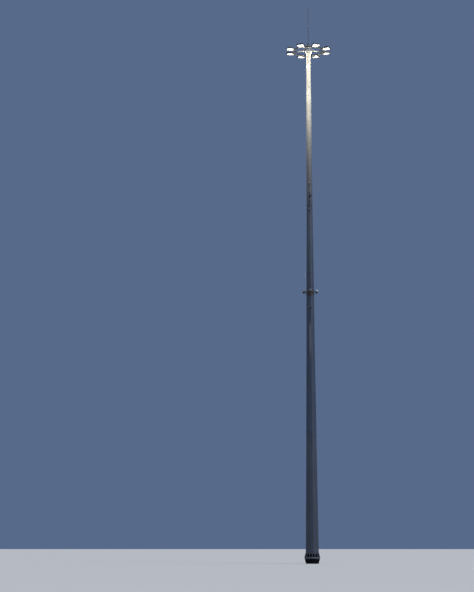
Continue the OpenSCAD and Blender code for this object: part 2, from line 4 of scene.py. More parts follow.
import bpy
from mathutils import Matrix, Vector


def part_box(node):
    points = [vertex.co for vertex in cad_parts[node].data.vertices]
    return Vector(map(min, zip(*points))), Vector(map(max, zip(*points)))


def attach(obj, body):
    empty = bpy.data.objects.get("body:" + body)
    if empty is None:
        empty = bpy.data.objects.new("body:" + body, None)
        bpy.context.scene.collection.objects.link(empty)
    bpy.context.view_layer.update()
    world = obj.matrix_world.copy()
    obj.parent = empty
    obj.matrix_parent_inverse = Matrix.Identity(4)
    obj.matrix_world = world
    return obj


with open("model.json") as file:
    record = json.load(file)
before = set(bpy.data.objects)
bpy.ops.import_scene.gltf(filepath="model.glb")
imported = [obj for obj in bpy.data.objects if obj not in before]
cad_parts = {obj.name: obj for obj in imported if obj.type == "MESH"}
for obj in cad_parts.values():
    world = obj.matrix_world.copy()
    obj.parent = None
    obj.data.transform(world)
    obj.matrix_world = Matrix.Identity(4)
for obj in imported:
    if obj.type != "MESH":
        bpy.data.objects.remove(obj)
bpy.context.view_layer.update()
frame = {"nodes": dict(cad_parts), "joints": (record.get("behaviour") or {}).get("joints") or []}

scene = bpy.context.scene
MAST = "mast"
SIDES = 16
SIDE_STEP = 2 * pi / SIDES
FRONT = -pi / 2
LAMPS = 8

# Sizes that the CAD model also has, in metres
FLANGE_R, FLANGE_T = 0.335, 0.026
JOINT_Z, GUSSET_TOP_Z = (corner.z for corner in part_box("base_flange"))
BASE_Z = JOINT_Z + FLANGE_T
STUB_TOP_Z = JOINT_Z - FLANGE_T
STUB_R, STUB_GUSSET_Z = 0.270, 0.028
GUSSET_T = 0.008
BOLT_R = 0.612 / 2
SLIP_Z = [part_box(name)[0].z for name in
          ("shaft_section_1", "shaft_section_2", "shaft_section_3", "shaft_section_4", "head_plate")]
SLIP_D = [0.555, 0.441, 0.345, 0.262, 0.184]
WALL = [0.005, 0.004, 0.0035, 0.003, 0.0]
SLIP_GAP = 0.0003
GUSSET_TOE_R = FLANGE_R - 0.010
GUSSET_NOSE_R = SLIP_D[0] / 2 + 0.006
BAND_Z = [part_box(name)[0].z for name in ("upper_band", "lower_band")]
LAMP_TILT = radians(5)
LAMP_NUMBERS = range(1, LAMPS + 1)


def section_top_d(i):
    """Width across flats that shaft section i has where the next one begins around it."""
    return SLIP_D[i + 1] - 2 * WALL[i + 1] - (2 * SLIP_GAP if i < 3 else 0)


def shaft_r(z):
    """Distance from the axis to the middle of a flat side at a height, seen from outside."""
    i = max(k for k in range(4) if k == 0 or z >= SLIP_Z[k])
    share = (z - SLIP_Z[i]) / (SLIP_Z[i + 1] - SLIP_Z[i])
    return (SLIP_D[i] + (section_top_d(i) - SLIP_D[i]) * share) / 2


def wall_y(x, z):
    """How far back the many-sided shaft's surface stands at a distance from its middle plane."""
    r = shaft_r(z)
    past_flat = max(0, abs(x) - r * tan(SIDE_STEP / 2))
    return r - past_flat * tan(SIDE_STEP)


# Places and directions
def turns(count, shift=0.0):
    """Angles that share out a full turn, moved on by a share of their step."""
    return [2 * pi * (k + shift) / count for k in range(count)]


def out(angle):
    """Level direction away from the axis."""
    return Vector((cos(angle), sin(angle), 0))


def polar(r, angle, z, shift=0.0):
    """Point at a distance from the axis, moved sideways by shift."""
    return Vector((r * cos(angle), r * sin(angle), z)) + out(angle + pi / 2) * shift


def at(x, y, z):
    """Matrix that moves to a point."""
    return Matrix.Translation((x, y, z))


def place(location, z_axis, x_axis=(0, 0, 1)):
    """Matrix at a location with its Z along z_axis and its X near x_axis."""
    z = Vector(z_axis).normalized()
    x = Vector(x_axis)
    if abs(z.dot(x)) > 0.99 * x.length:
        x = Vector((1, 0, 0))
    x = (x - z * x.dot(z)).normalized()
    matrix = Matrix((x, z.cross(x), z)).transposed().to_4x4()
    matrix.translation = location
    return matrix


def facing(r, angle, z, shift=0.0):
    """Matrix at a point round the axis, with its Z outwards and its X up."""
    return place(polar(r, angle, z, shift), out(angle))


def stand_off(matrix, distance):
    """The matrix moved along its own Z."""
    return matrix @ at(0, 0, distance)


def add_object(name, data):
    """New object of the scene."""
    obj = bpy.data.objects.new(name, data)
    scene.collection.objects.link(obj)
    return obj


# Camera: fitted to the mast's foot, lamp ring and tip in the photograph
IMAGE_H = 592
FOCAL_PX = 1521.6
SENSOR = 36.0
CAMERA_DISTANCE, CAMERA_HEIGHT = 65.24, 0.74
CAMERA_PITCH, CAMERA_YAW = radians(9.3294), radians(2.7925)
CLIP_END = 400


def make_camera():
    data = bpy.data.cameras.new("camera")
    data.sensor_width = SENSOR
    data.lens = FOCAL_PX / IMAGE_H * SENSOR
    data.clip_end = CLIP_END
    camera = add_object("camera", data)
    camera.location = (0, -CAMERA_DISTANCE, CAMERA_HEIGHT)
    camera.rotation_euler = (pi / 2 + CAMERA_PITCH, 0, CAMERA_YAW)
    scene.camera = camera


make_camera()


# Materials
def as_colour(value):
    """Linear colour of an sRGB hex string, or grey of a number. Other values stay as they are."""
    if isinstance(value, float):
        return (value, value, value, 1)
    if not isinstance(value, str):
        return value
    parts = [int(value[k:k + 2], 16) / 255 for k in (1, 3, 5)]
    return tuple(c / 12.92 if c <= 0.04045 else ((c + 0.055) / 1.055) ** 2.4 for c in parts) + (1.0,)


class Graph:
    """Node tree of a material or the world, with short calls for the nodes that are used here."""

    def __init__(self, owner):
        owner.use_nodes = True
        self.owner = owner
        self.tree = owner.node_tree

    def feed(self, socket, value):
        """Links a node's output to a socket, or sets the socket to a plain value."""
        if isinstance(value, bpy.types.NodeSocket):
            self.tree.links.new(value, socket)
        else:
            socket.default_value = value

    def node(self, kind, output, inputs, **settings):
        """Output of a new node with these settings and inputs."""
        node = self.tree.nodes.new(f"ShaderNode{kind}")
        for key, value in settings.items():
            setattr(node, key, value)
        for key, value in inputs.items():
            self.feed(node.inputs[key], value)
        return node.outputs[output]

    def maths(self, kind, *values):
        """Result of a math node, whose values are numbers or other nodes' outputs."""
        return self.node("Math", "Value", dict(enumerate(values)), operation=kind)

    def times(self, first, *rest):
        """Product of numbers and outputs."""
        return self.maths("MULTIPLY", first, self.times(*rest)) if rest else first

    def between(self, value, start, end, curve="SMOOTHSTEP"):
        """Goes from 0 to 1 while the value goes from start to end."""
        return self.node("MapRange", "Result", {"Value": value, "From Min": start, "From Max": end},
                         interpolation_type=curve)

    def ramp(self, value, *stops):
        """Colour by value, through (value, colour) stops."""
        colour_out = self.node("ValToRGB", "Color", {"Fac": value})
        elements = colour_out.node.color_ramp.elements
        while len(elements) < len(stops):
            elements.new(0.5)
        for element, (spot, colour) in zip(elements, stops):
            element.position = spot
            element.color = as_colour(colour)
        return colour_out

    def mix(self, share, a, b, kind="MIX"):
        """Colour from a to b. The node's colour sockets go by number, since their names are shared."""
        return self.node("Mix", 2, {0: share, 6: as_colour(a), 7: as_colour(b)},
                         data_type="RGBA", blend_type=kind)


class Surface(Graph):
    """A new material, with its shader and the coordinates on its object."""

    def __init__(self, name, **sockets):
        super().__init__(bpy.data.materials.new(name))
        self.shader = self.tree.nodes["Principled BSDF"]
        self.coords = self.node("TexCoord", "Object", {})
        self.set(**sockets)

    def set(self, **sockets):
        """Feeds sockets of the shader, whose names have _ for each space."""
        for key, value in sockets.items():
            self.feed(self.shader.inputs[key.replace("_", " ")], value)

    def axis(self, name):
        return self.node("SeparateXYZ", name, {"Vector": self.coords})

    def scaled(self, x, y, z):
        return self.node("Mapping", "Vector", {"Vector": self.coords, "Scale": (x, y, z)})

    def noise(self, vector, scale, detail=4.0, rough=0.55):
        return self.node("TexNoise", "Fac",
                         {"Vector": vector, "Scale": scale, "Detail": detail, "Roughness": rough})

    def bump(self, scale, detail, strength, distance):
        """Fine relief made of noise."""
        height = self.noise(self.coords, scale, detail)
        self.set(Normal=self.node("Bump", "Normal",
                                  {"Height": height, "Strength": strength, "Distance": distance}))


ZINC_METALLIC = 0.35


def galvanised(name, tone, dark, pale, spangle=150.0, stains_and_painted_light=(), shade_dulls_shine=False):
    """Weathered zinc: crystals, run-off streaks down the shaft, and a dull oxide in patches.

    Each stain, or mark of painted shade or highlight, is a function that gives its strength over the
    surface, and its colour. At the foot the first one is painted shade, and there it takes away the shine
    too.
    """
    g = Surface(name, Metallic=ZINC_METALLIC)
    patches = g.noise(g.scaled(1, 1, 0.35), 3.2, 6.0)
    streaks = g.noise(g.scaled(26, 26, 0.8), 1.0, 5.0, 0.6)
    base = g.ramp(patches, (0.30, dark), (0.52, tone), (0.75, pale))
    crystals = g.node("TexVoronoi", "Color", {"Vector": g.coords, "Scale": spangle})
    base = g.mix(0.10, base, crystals, "OVERLAY")
    runs = g.ramp(streaks, (0.42, 0.0), (0.60, 1.0))
    base = g.mix(g.mix(0.30, 0.0, runs), base, dark)
    for i, (strength, colour) in enumerate(stains_and_painted_light):
        share = strength(g)
        base = g.mix(share, base, colour)
        # The foot's painted shade also turns the zinc metallic, so that its near black reflects nothing
        if shade_dulls_shine and i == 0:
            g.set(Metallic=g.mix(share, ZINC_METALLIC, 1.0))
    g.set(Base_Color=base, Roughness=g.ramp(streaks, (0.3, 0.42), (0.7, 0.62)))
    g.bump(420.0, 3.0, 0.12, 0.0006)
    return g.owner


def wander(g, upright, width):
    """Uneven shift of the edge of painted shade or of a patch, by up to half of width either way."""
    return g.times(g.maths("SUBTRACT", g.noise(g.scaled(30, 30, upright), 1.0, 4.0), 0.5), width)


# The foot's painted shade: heights where it ends and is full, its least share, and how far from a gusset it
# goes from that share to full, in steps from gusset to gusset
FOOT_SHADE_Z = (BASE_Z + 0.165, BASE_Z + 0.105)
FOOT_SHADE_LEAST = 0.30
POCKET_EDGE = (0.12, 0.22)


def foot_painted_shade(g):
    """Painted shade on the shaft's wall in the pockets between the gussets, deepest at the flange."""
    turn = g.maths("DIVIDE", g.maths("ARCTAN2", g.axis("Y"), g.axis("X")), SIDE_STEP)
    off_gusset = g.maths("ABSOLUTE", g.maths("SUBTRACT", turn, g.maths("ROUND", turn)))
    low = g.between(g.maths("ADD", g.axis("Z"), wander(g, 6, 0.12)), *FOOT_SHADE_Z)
    pocket = g.between(off_gusset, *POCKET_EDGE)
    return g.times(low, g.maths("ADD", FOOT_SHADE_LEAST, g.times(1 - FOOT_SHADE_LEAST, pocket)))


def axis_distance(g):
    """Distance of a point from the mast's axis."""
    x, y = g.axis("X"), g.axis("Y")
    return g.maths("SQRT", g.maths("ADD", g.times(x, x), g.times(y, y)))


def edge_depth(g, low_z, low_r, high_z, high_r):
    """How far inside the gussets' sloping outer edge a point lies."""
    slope = (high_r - low_r) / (high_z - low_z)
    edge = g.maths("ADD", low_r - slope * low_z, g.times(slope, g.axis("Z")))
    return g.maths("SUBTRACT", edge, axis_distance(g))


def by_upper_edge(g, start, end):
    """Goes from 0 to 1 between two depths inside the upper gussets' outer edge. It is 0 below them."""
    depth = edge_depth(g, BASE_Z, GUSSET_TOE_R, GUSSET_TOP_Z, GUSSET_NOSE_R)
    return g.times(g.between(g.axis("Z"), BASE_Z - 0.001, BASE_Z + 0.001), g.between(depth, start, end))


def pocket_painted_shade(g):
    """Painted shade on the gussets and on the flange between them, which leaves the gussets' outer edges out.
    """
    return g.times(0.96, by_upper_edge(g, 0.006, 0.024))


def painted_edge_highlight(g):
    """Painted highlight: paler zinc on the flange's rim and on the gussets' outer edges."""
    rim = g.between(axis_distance(g), FLANGE_R - 0.006, FLANGE_R - 0.002)
    return g.maths("MAXIMUM", g.times(0.45, by_upper_edge(g, 0.010, 0.004)), g.times(0.22, rim))


def in_front(g):
    """Goes from 0 on the mast's back half to 1 on its front half."""
    return g.between(g.axis("Y"), 0.02, -0.02)


# Height where the zinc wash under the second slip joint starts, is full, fades and ends, its middle, and
# how far to each side of it the wash ends and is full
WASH_Z = (8.5, 9.3, 10.10, 10.45)
WASH_X, WASH_REACH = -0.008, (0.046, 0.028)
# The dark patch at the collar: its lower and upper end, and how much wider it gets with height
COLLAR_PATCH_Z = (BAND_Z[1] - 0.12, BAND_Z[0])
COLLAR_PATCH_SPREAD = 0.80


def joint_run(g):
    """Pale zinc wash that has run down the front flat from the slip joint above."""
    z = g.axis("Z")
    flat = g.between(g.maths("ABSOLUTE", g.maths("SUBTRACT", g.axis("X"), WASH_X)), *WASH_REACH)
    down = g.times(g.between(z, WASH_Z[0], WASH_Z[1]), g.between(z, WASH_Z[3], WASH_Z[2]))
    return g.times(0.62, in_front(g), flat, down)


def collar_dark_patch(g):
    """Dark brown patch down the front of the shaft, from the collar's upper band to just under its lower
    band.
    """
    z = g.axis("Z")
    half = g.maths("ADD", wander(g, 3, 0.09), g.times(g.maths("SUBTRACT", z, COLLAR_PATCH_Z[0]), COLLAR_PATCH_SPREAD))
    across = g.between(g.maths("SUBTRACT", half, g.maths("ABSOLUTE", g.axis("X"))), 0.0, 0.035)
    along = g.times(g.between(z, COLLAR_PATCH_Z[0], COLLAR_PATCH_Z[0] + 0.10), g.between(z, COLLAR_PATCH_Z[1] + 0.005, COLLAR_PATCH_Z[1]))
    return g.times(0.9, in_front(g), across, along)


def painted(name, tone, pale, metallic=0.0, rough=(0.38, 0.55)):
    """Coated metal with faint mottling of its colour and gloss, and fine orange peel."""
    g = Surface(name, Metallic=metallic)
    mottle = g.noise(g.coords, 14.0, 6.0)
    g.set(Base_Color=g.ramp(mottle, (0.35, tone), (0.72, pale)),
          Roughness=g.ramp(mottle, (0.3, rough[0]), (0.7, rough[1])))
    g.bump(260.0, 2.0, 0.15, 0.0004)
    return g.owner


def half_coated(name, coat_top):
    """Bituminous coat that ends at a height, with bare zinc above it and along its worn edges."""
    g = Surface(name, Specular_IOR_Level=0.1)
    z = g.axis("Z")
    mottle = g.noise(g.coords, 14.0, 6.0)
    coat = g.ramp(mottle, (0.35, "#050507"), (0.72, "#0c0d10"))
    zinc = g.ramp(mottle, (0.35, "#4b5463"), (0.72, "#5c6674"))
    depth = edge_depth(g, STUB_GUSSET_Z, STUB_R + 0.006, coat_top, GUSSET_TOE_R)
    worn = g.times(0.85, g.between(z, coat_top - 0.075, coat_top - 0.030), g.between(depth, 0.036, 0.016))
    bare = g.maths("MAXIMUM", g.between(z, coat_top - 0.002, coat_top, "LINEAR"), worn)
    g.set(Base_Color=g.mix(bare, coat, zinc), Roughness=g.ramp(mottle, (0.3, 0.55), (0.7, 0.75)))
    g.bump(120.0, 2.0, 0.15, 0.0004)
    return g.owner


def plastic(name, tone, grime, rough=0.4, painted_shade=()):
    """Moulded plastic that has gathered dirt in run-off lines.

    Each layer of painted shade has an axis, the places on it where it starts and is full, and a colour.
    """
    g = Surface(name, Roughness=rough)
    runs = g.noise(g.scaled(30, 30, 2.0), 1.5, 5.0)
    base = g.ramp(runs, (0.35, grime), (0.55, tone))
    for axis, start, full, colour in painted_shade:
        base = g.mix(g.between(g.axis(axis), start, full), base, colour)
    g.set(Base_Color=base, Roughness=g.ramp(runs, (0.3, rough + 0.15), (0.6, rough)))
    g.bump(500.0, 2.0, 0.08, 0.0003)
    return g.owner


def glowing(name, colour, strength, spots, dull="#e9ecdf", clean="#ffffff"):
    """A lit surface: even glow with a slight unevenness."""
    g = Surface(name, Roughness=0.3, Emission_Strength=strength)
    pattern = g.noise(g.coords, spots, 2.0)
    g.set(Base_Color=g.ramp(pattern, (0.3, dull), (0.7, clean)),
          Emission_Color=g.ramp(pattern, (0.3, colour), (0.7, 1.0)))
    return g.owner


def clear_glass(name):
    """Toughened pane with a trace of green and a film of dust."""
    g = Surface(name, Roughness=0.05, Transmission_Weight=1.0, IOR=1.45, Alpha=0.35)
    dust = g.noise(g.coords, 18.0, 5.0)
    g.set(Base_Color=g.ramp(dust, (0.35, "#f3f7f1"), (0.7, "#dfe5dc")),
          Roughness=g.ramp(dust, (0.4, 0.03), (0.75, 0.16)))
    return g.owner


FOOT_TONES = ("#343d4e", "#2f3747", "#3a4457")
MAST_TONES = ("#303d52", "#2b374b", "#36445b")
# Near black of the painted shade at the foot
PAINTED_SHADE_BLACK = "#030405"
STEEL = galvanised("galvanised_steel", *MAST_TONES)
CLEAN_STEEL = galvanised("galvanised_top", "#333d4f", "#313b4c", "#353f51")
# Shaft's foot: painted shade in the pockets between the gussets
FOOT_STEEL = galvanised("galvanised_foot", *FOOT_TONES, stains_and_painted_light=[(foot_painted_shade, PAINTED_SHADE_BLACK)], shade_dulls_shine=True)
# Gussets and flange: painted shade in the pockets, and a painted highlight on the outer edges
GUSSET_STEEL = galvanised("galvanised_gussets", *FOOT_TONES,
                          stains_and_painted_light=[(pocket_painted_shade, PAINTED_SHADE_BLACK), (painted_edge_highlight, "#747d8a")], shade_dulls_shine=True)
WASHED_STEEL = galvanised("galvanised_with_wash", *MAST_TONES, stains_and_painted_light=[(joint_run, "#66676d")])
COLLAR_PATCHED_STEEL = galvanised("galvanised_with_dark_patch", *MAST_TONES, stains_and_painted_light=[(collar_dark_patch, "#2b2523")])
SMALL_STEEL = galvanised("galvanised_small_steel", "#535c6b", "#414956", "#666f7c", 420.0)
COLLAR_STEEL = galvanised("collar_steel", "#3a3435", "#2a2627", "#454041", 420.0)
ZINC = galvanised("zinc_fasteners", "#7f868f", "#5a6068", "#9aa0a7", 600.0)
# Paler zinc for the top joint's lugs, which are the same as the lower lugs: the paler tone is painted light
LUG_ZINC = galvanised("lug_zinc", "#5f6670", "#474d56", "#767d87", 600.0)
# Nearly black zinc of the foot's bolts
DARK_ZINC = galvanised("dark_fasteners", "#1c1f23", "#131518", "#282c31", 600.0)
WELD = galvanised("weld_zinc", "#434c5b", "#353d4a", "#525b69", 600.0)
BLACK = half_coated("black_coating", STUB_TOP_Z)
DARK = painted("dark_paint", "#1c2026", "#282c34")
BOX_PAINT = painted("box_paint", "#272d3d", "#333a4b")
LAMP_METAL = painted("lamp_aluminium", "#3c4046", "#50555b", metallic=0.4)
# The hoods' plastic, with painted shade: the left and back hoods darker, the front one darkest
WHITE = plastic("white_plastic", "#9aa6b8", "#828d9f",
                painted_shade=[("X", 0.12, 0.06, "#6b7789"), ("Y", -0.18, -0.24, "#5b6069")])
# The antenna's copy of the hoods' white plastic, made paler: painted light
PALE = plastic("pale_plastic", "#aab6c8", "#94a1b5")
DOME = plastic("dark_dome", "#0d0e11", "#16181c", rough=0.12)
RUBBER = plastic("black_rubber", "#121314", "#1d1e20", rough=0.7)
PLUG = plastic("black_plugs", "#050506", "#0a0b0c", rough=0.8)
REFLECTOR = painted("lamp_reflector", "#cfd2d2", "#e6e8e8", metallic=0.8, rough=(0.18, 0.32))
# The LED board gives no light of its own: its faint glow is painted light
BOARD = glowing("led_board", "#f4ecd8", 0.15, 20.0, "#3d4144", "#4a4f52")
LENS = glowing("led_lens", "#fffaf0", 6.0, 90.0)
GLASS = clear_glass("lamp_glass")

# Every node that isn't named here is of plain galvanised steel
NODE_MATERIALS = {
    "foundation_stub": BLACK, "base_flange": GUSSET_STEEL, "shaft_section_1": FOOT_STEEL,
    "shaft_section_2": WASHED_STEEL, "shaft_section_3": COLLAR_PATCHED_STEEL, "shaft_section_4": CLEAN_STEEL,
    "door_frame": SMALL_STEEL, "access_door": SMALL_STEEL, "upper_band": COLLAR_STEEL,
    "lower_band": COLLAR_STEEL, "dome_arms": COLLAR_STEEL, "dome_hoods": WHITE, "domes": DOME,
    "side_antenna": PALE, "antenna_bracket": SMALL_STEEL, "junction_box": BOX_PAINT,
    "lightning_rod": DARK, "lamp_ring": SMALL_STEEL, "stirrups": SMALL_STEEL,
}
for k in LAMP_NUMBERS:
    NODE_MATERIALS.update({f"lamp_{k}_housing": LAMP_METAL, f"lamp_{k}_glass": GLASS})
for name, node in frame["nodes"].items():
    node.data.materials.clear()
    node.data.materials.append(NODE_MATERIALS.get(name, STEEL))


# Meshes
TUBE_SIDES = 6
RIPPLE, RIPPLE_PITCH = 0.86, 0.006
# Signs of a rectangle's corners, anticlockwise
SQUARE = ((1, 1), (-1, 1), (-1, -1), (1, -1))


class Parts:
    """Collects small solids and turns them into one mesh object."""

    def __init__(self):
        self.verts = []
        self.faces = []

    def loft(self, rings, matrix=Matrix(), hollow=False):
        """Solid through rings of as many points, capped at its ends, or closed back to the first ring."""
        n = len(rings[0])
        starts = [len(self.verts) + i * n for i in range(len(rings))]
        self.verts += [tuple(matrix @ Vector(point)) for ring in rings for point in ring]
        for a, b in zip(starts, starts[1:] + starts[:1] if hollow else starts[1:]):
            self.faces += [(a + k, a + (k + 1) % n, b + (k + 1) % n, b + k) for k in range(n)]
        if not hollow:
            self.faces.append(tuple(reversed(range(starts[0], starts[0] + n))))
            self.faces.append(tuple(range(starts[-1], starts[-1] + n)))

    def revolve(self, profile, sides, matrix):
        """Solid of revolution about Z through (radius, height) points, with flat ends."""
        self.loft([[(r * cos(a), r * sin(a), z) for a in turns(sides)] for r, z in profile], matrix)

    def box(self, size, matrix, bevel=0.0):
        """Box centred on the matrix's origin, with chamfered upright edges when bevel is given."""
        x, y, z = (s / 2 for s in size)
        outline = rounded_outline(x, y, bevel, 1) if bevel else [(x * i, y * j) for i, j in SQUARE]
        self.loft([raised(outline, -z), raised(outline, z)], matrix)

    def tube(self, points, radii):
        """Tube along points, with one radius for each."""
        rings, side = [], None
        for i, point in enumerate(points):
            ahead = (points[min(i + 1, len(points) - 1)] - points[max(i - 1, 0)]).normalized()
            if side is None:
                side = ahead.orthogonal().normalized()
            side = (side - ahead * side.dot(ahead)).normalized()
            up = ahead.cross(side)
            rings.append([point + (side * cos(a) + up * sin(a)) * radii[i] for a in turns(TUBE_SIDES)])
        self.loft(rings)

    def weld(self, points, size, ripple=RIPPLE):
        """Weld bead along points, thinner by the factor ripple at every other one."""
        self.tube(points, [size * (1.0 if k % 2 else ripple) for k in range(len(points))])

    def bead(self, points, size, pitch=RIPPLE_PITCH):
        """Straight weld beads from point to point, with the ripples of their runs."""
        for a, b in zip(points, points[1:]):
            steps = max(2, round((b - a).length / pitch) * 2)
            self.weld([a.lerp(b, k / steps) for k in range(steps + 1)], size)

    def bead_loop(self, r, z, size, pitch=RIPPLE_PITCH):
        """Bead round the shaft or the drum, whose flats stand at distance r from the axis."""
        corners = [polar(r / cos(SIDE_STEP / 2), angle, z) for angle in turns(SIDES, -0.5)]
        self.bead(corners + corners[:1], size, pitch)

    def bead_frame(self, r, angle, z, width, height, size):
        """Beads round a bar of this width and height that stands out from the axis."""
        corners = [polar(r, angle, z + up * height / 2, across * width / 2) for across, up in SQUARE]
        self.bead(corners + corners[:1], size)

    def bolt(self, matrix, across, head, shank_r, reach, washer):
        """Hexagon head or nut that stands on the matrix's XY plane, with a washer and a thread end."""
        r = across / 2 / cos(pi / 6)
        chamfer = head * 0.12
        top = washer + head
        if washer:
            self.revolve([(across * 0.62, 0), (across * 0.64, washer * 0.3), (across * 0.64, washer * 0.8),
                          (across * 0.6, washer)], 20, matrix)
        self.revolve([(r * 0.96, washer), (r, washer + chamfer), (r, top - chamfer), (r * 0.9, top)], 6,
                     matrix)
        if reach:
            profile = [(shank_r * 0.9, top - head * 0.2)]
            threads = max(2, round(reach / (shank_r * 0.28)))
            for k in range(threads):
                z = top + reach * k / threads
                profile += [(shank_r * 0.9, z), (shank_r, z + reach * 0.5 / threads)]
            self.revolve(profile + [(shank_r * 0.85, top + reach)], 14, matrix)

    def through_bolt(self, middle, axis, grip, across=0.013, spare=0.4):
        """Bolt through a joint: head on one side, nut and thread end on the other, shank between."""
        axis = Vector(axis).normalized()
        shank = across * 0.31
        washer = across * 0.12
        self.bolt(place(middle + axis * grip / 2, axis), across, across * 0.4, 0, 0, washer)
        self.bolt(place(middle - axis * grip / 2, -axis), across, across * 0.5, shank, across * spare,
                  washer)
        self.revolve([(shank, -grip / 2), (shank, grip / 2)], 12, place(middle, axis))

    def piece(self, name, material, smooth=0.0, slot="galvanised_steel", body=MAST):
        """The collected solids as one object, shaded smooth below an angle in degrees."""
        mesh = bpy.data.meshes.new(name)
        mesh.from_pydata(self.verts, [], self.faces)
        mesh.materials.append(material)
        mesh.update()
        obj = add_object(name, mesh)
        if smooth:
            mesh.shade_smooth()
            mesh.set_sharp_from_angle(angle=radians(smooth))
        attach(obj, body)


def mm(*points):
    """Profile of (radius, height) points that are given in millimetres."""
    return [(r / 1000, z / 1000) for r, z in points]


def raised(outline, z, scale=1.0):
    """Ring of points at a height over a flat outline."""
    return [(x * scale, y * scale, z) for x, y in outline]


def rounded_outline(half_x, half_y, corner, steps=5):
    """Points of a rectangle with round corners of so many steps, anticlockwise."""
    return [(x_side * (half_x - corner) + corner * cos(a), y_side * (half_y - corner) + corner * sin(a))
            for quarter, (x_side, y_side) in enumerate(SQUARE)
            for a in [(quarter + j / steps) * pi / 2 for j in range(steps + 1)]]


# Small nuts and bolts: width across flats, height, radius and length of the thread, and washer
STUD_NUT = (0.013, 0.0065, 0.004, 0.012, 0.002)
PAD_BOLT = (0.0072, 0.0032, 0, 0, 0.0008)
BRACKET_NUT = (0.012, 0.005, 0.0035, 0.004, 0.0015)
HOOD_BOLT = (0.010, 0.004, 0, 0, 0.001)
SOCKET_NUT = (0.008, 0.0035, 0.0025, 0.002, 0.001)
SET_SCREW = (0.008, 0.004, 0, 0, 0)
PIN_NUT = (0.013, 0.006, 0.004, 0.003, 0.0015)


# Foot: bolts of the flange joint, and the welds of both gusset rings
NUT_ACROSS, NUT_H = 0.027, 0.0135
WASHER_T = 0.003
SHANK_R, SHANK_END = 0.008, 0.011
FOOT_BEAD = 0.0045
ARC_STEPS = 12


def foot_bolts():
    parts = Parts()
    for k, angle in enumerate(turns(SIDES, 0.5)):
        for z, up, twist, end in ((BASE_Z, 1, 0.3, SHANK_END), (STUB_TOP_Z, -1, 0.2, SHANK_END * 0.5)):
            stand = place(polar(BOLT_R, angle, z), (0, 0, up), out(angle + twist * k))
            parts.bolt(stand, NUT_ACROSS, NUT_H, SHANK_R, end, WASHER_T)
    parts.piece("foot_bolts", DARK_ZINC, 35)


def gusset_welds(parts, low, high):
    """Beads on both sides of each gusset: up the wall from low to high, and out along the flange."""
    for angle in turns(SIDES):
        for way in (-1, 1):
            shift = way * (GUSSET_T / 2 + FOOT_BEAD * 0.3)
            for r, z in (high, (GUSSET_TOE_R, low[1])):
                parts.bead([polar(low[0], angle, low[1], shift), polar(r, angle, z, shift)], FOOT_BEAD)


def foot_welds():
    parts, under = Parts(), Parts()
    foot_r = shaft_r(BASE_Z)
    gusset_welds(parts, (foot_r, BASE_Z), (shaft_r(GUSSET_TOP_Z), GUSSET_TOP_Z))
    gusset_welds(under, (STUB_R, STUB_TOP_Z), (STUB_R, STUB_GUSSET_Z))
    for k in range(SIDES):
        middle = polar(foot_r / cos(SIDE_STEP / 2), (k + 0.5) * SIDE_STEP, BASE_Z)
        for flat, shift in ((k, GUSSET_T / 2), (k + 1, -GUSSET_T / 2)):
            parts.bead([polar(foot_r, flat * SIDE_STEP, BASE_Z, shift), middle], FOOT_BEAD)
        under.weld([polar(STUB_R, (k + 0.03 + 0.94 * j / ARC_STEPS) * SIDE_STEP, STUB_TOP_Z)
                    for j in range(ARC_STEPS + 1)], FOOT_BEAD, 0.88)
    parts.piece("foot_welds", WELD, 60)
    under.piece("stub_welds", BLACK, 60, "black_coating")


foot_bolts()
foot_welds()


# Shaft: long seams, slip joints and small sockets
SEAM_FLATS = (6, 14)
SEAM_BEAD, SEAM_PITCH = 0.0028, 0.05
SEAL_BEAD, SEAL_PITCH = 0.0022, 0.02
LUG_BEAD = 0.003
LUG_RISE, LUG_DROP = 0.255, 0.150
TOP_LUG_Z = (16.075, 16.465)
LUG_FLATS = (0, 5, -5)
LUG_W, LUG_H, LUG_T = 0.052, 0.044, 0.009
LUG_NUT = mm((16.5, 0), (16.5, 7), (14.5, 9), (9.5, 9), (9.5, 3))
LUG_PLUG = mm((9.4, 2), (9.4, 7.5), (7.8, 9))
# Plugged sockets under the slip joints, the last joint's being wider
PLUG_DROP = 0.250
PLUG_R, TOP_PLUG_R = 0.017, 0.020
# Heights of the plugged sockets up the front of the shaft, read off the photograph, by their radius
SOCKET_HEIGHTS = {0.010: (19.26, 19.685, 20.04), 0.013: (20.435, 20.705, 20.845, 21.25),
                  0.016: (12.47, 16.015, 16.385)}


def shaft_seams():
    parts = Parts()
    for i in range(4):
        ends = (SLIP_Z[i] + (0.012 if i else 0.002), SLIP_Z[i + 1] - 0.004)
        for flat in SEAM_FLATS:
            parts.bead([polar(shaft_r(z) - 0.0005, flat * SIDE_STEP, z) for z in ends], SEAM_BEAD,
                       SEAM_PITCH)
    parts.piece("shaft_seams", WELD, 60)


def slip_edges():
    """Sealing beads under the lower edge of each upper section."""
    parts = Parts()
    for z in SLIP_Z[1:4]:
        parts.bead_loop(shaft_r(z - 0.002), z - 0.001, SEAL_BEAD, SEAL_PITCH)
    parts.piece("slip_joint_seals", RUBBER, 60)


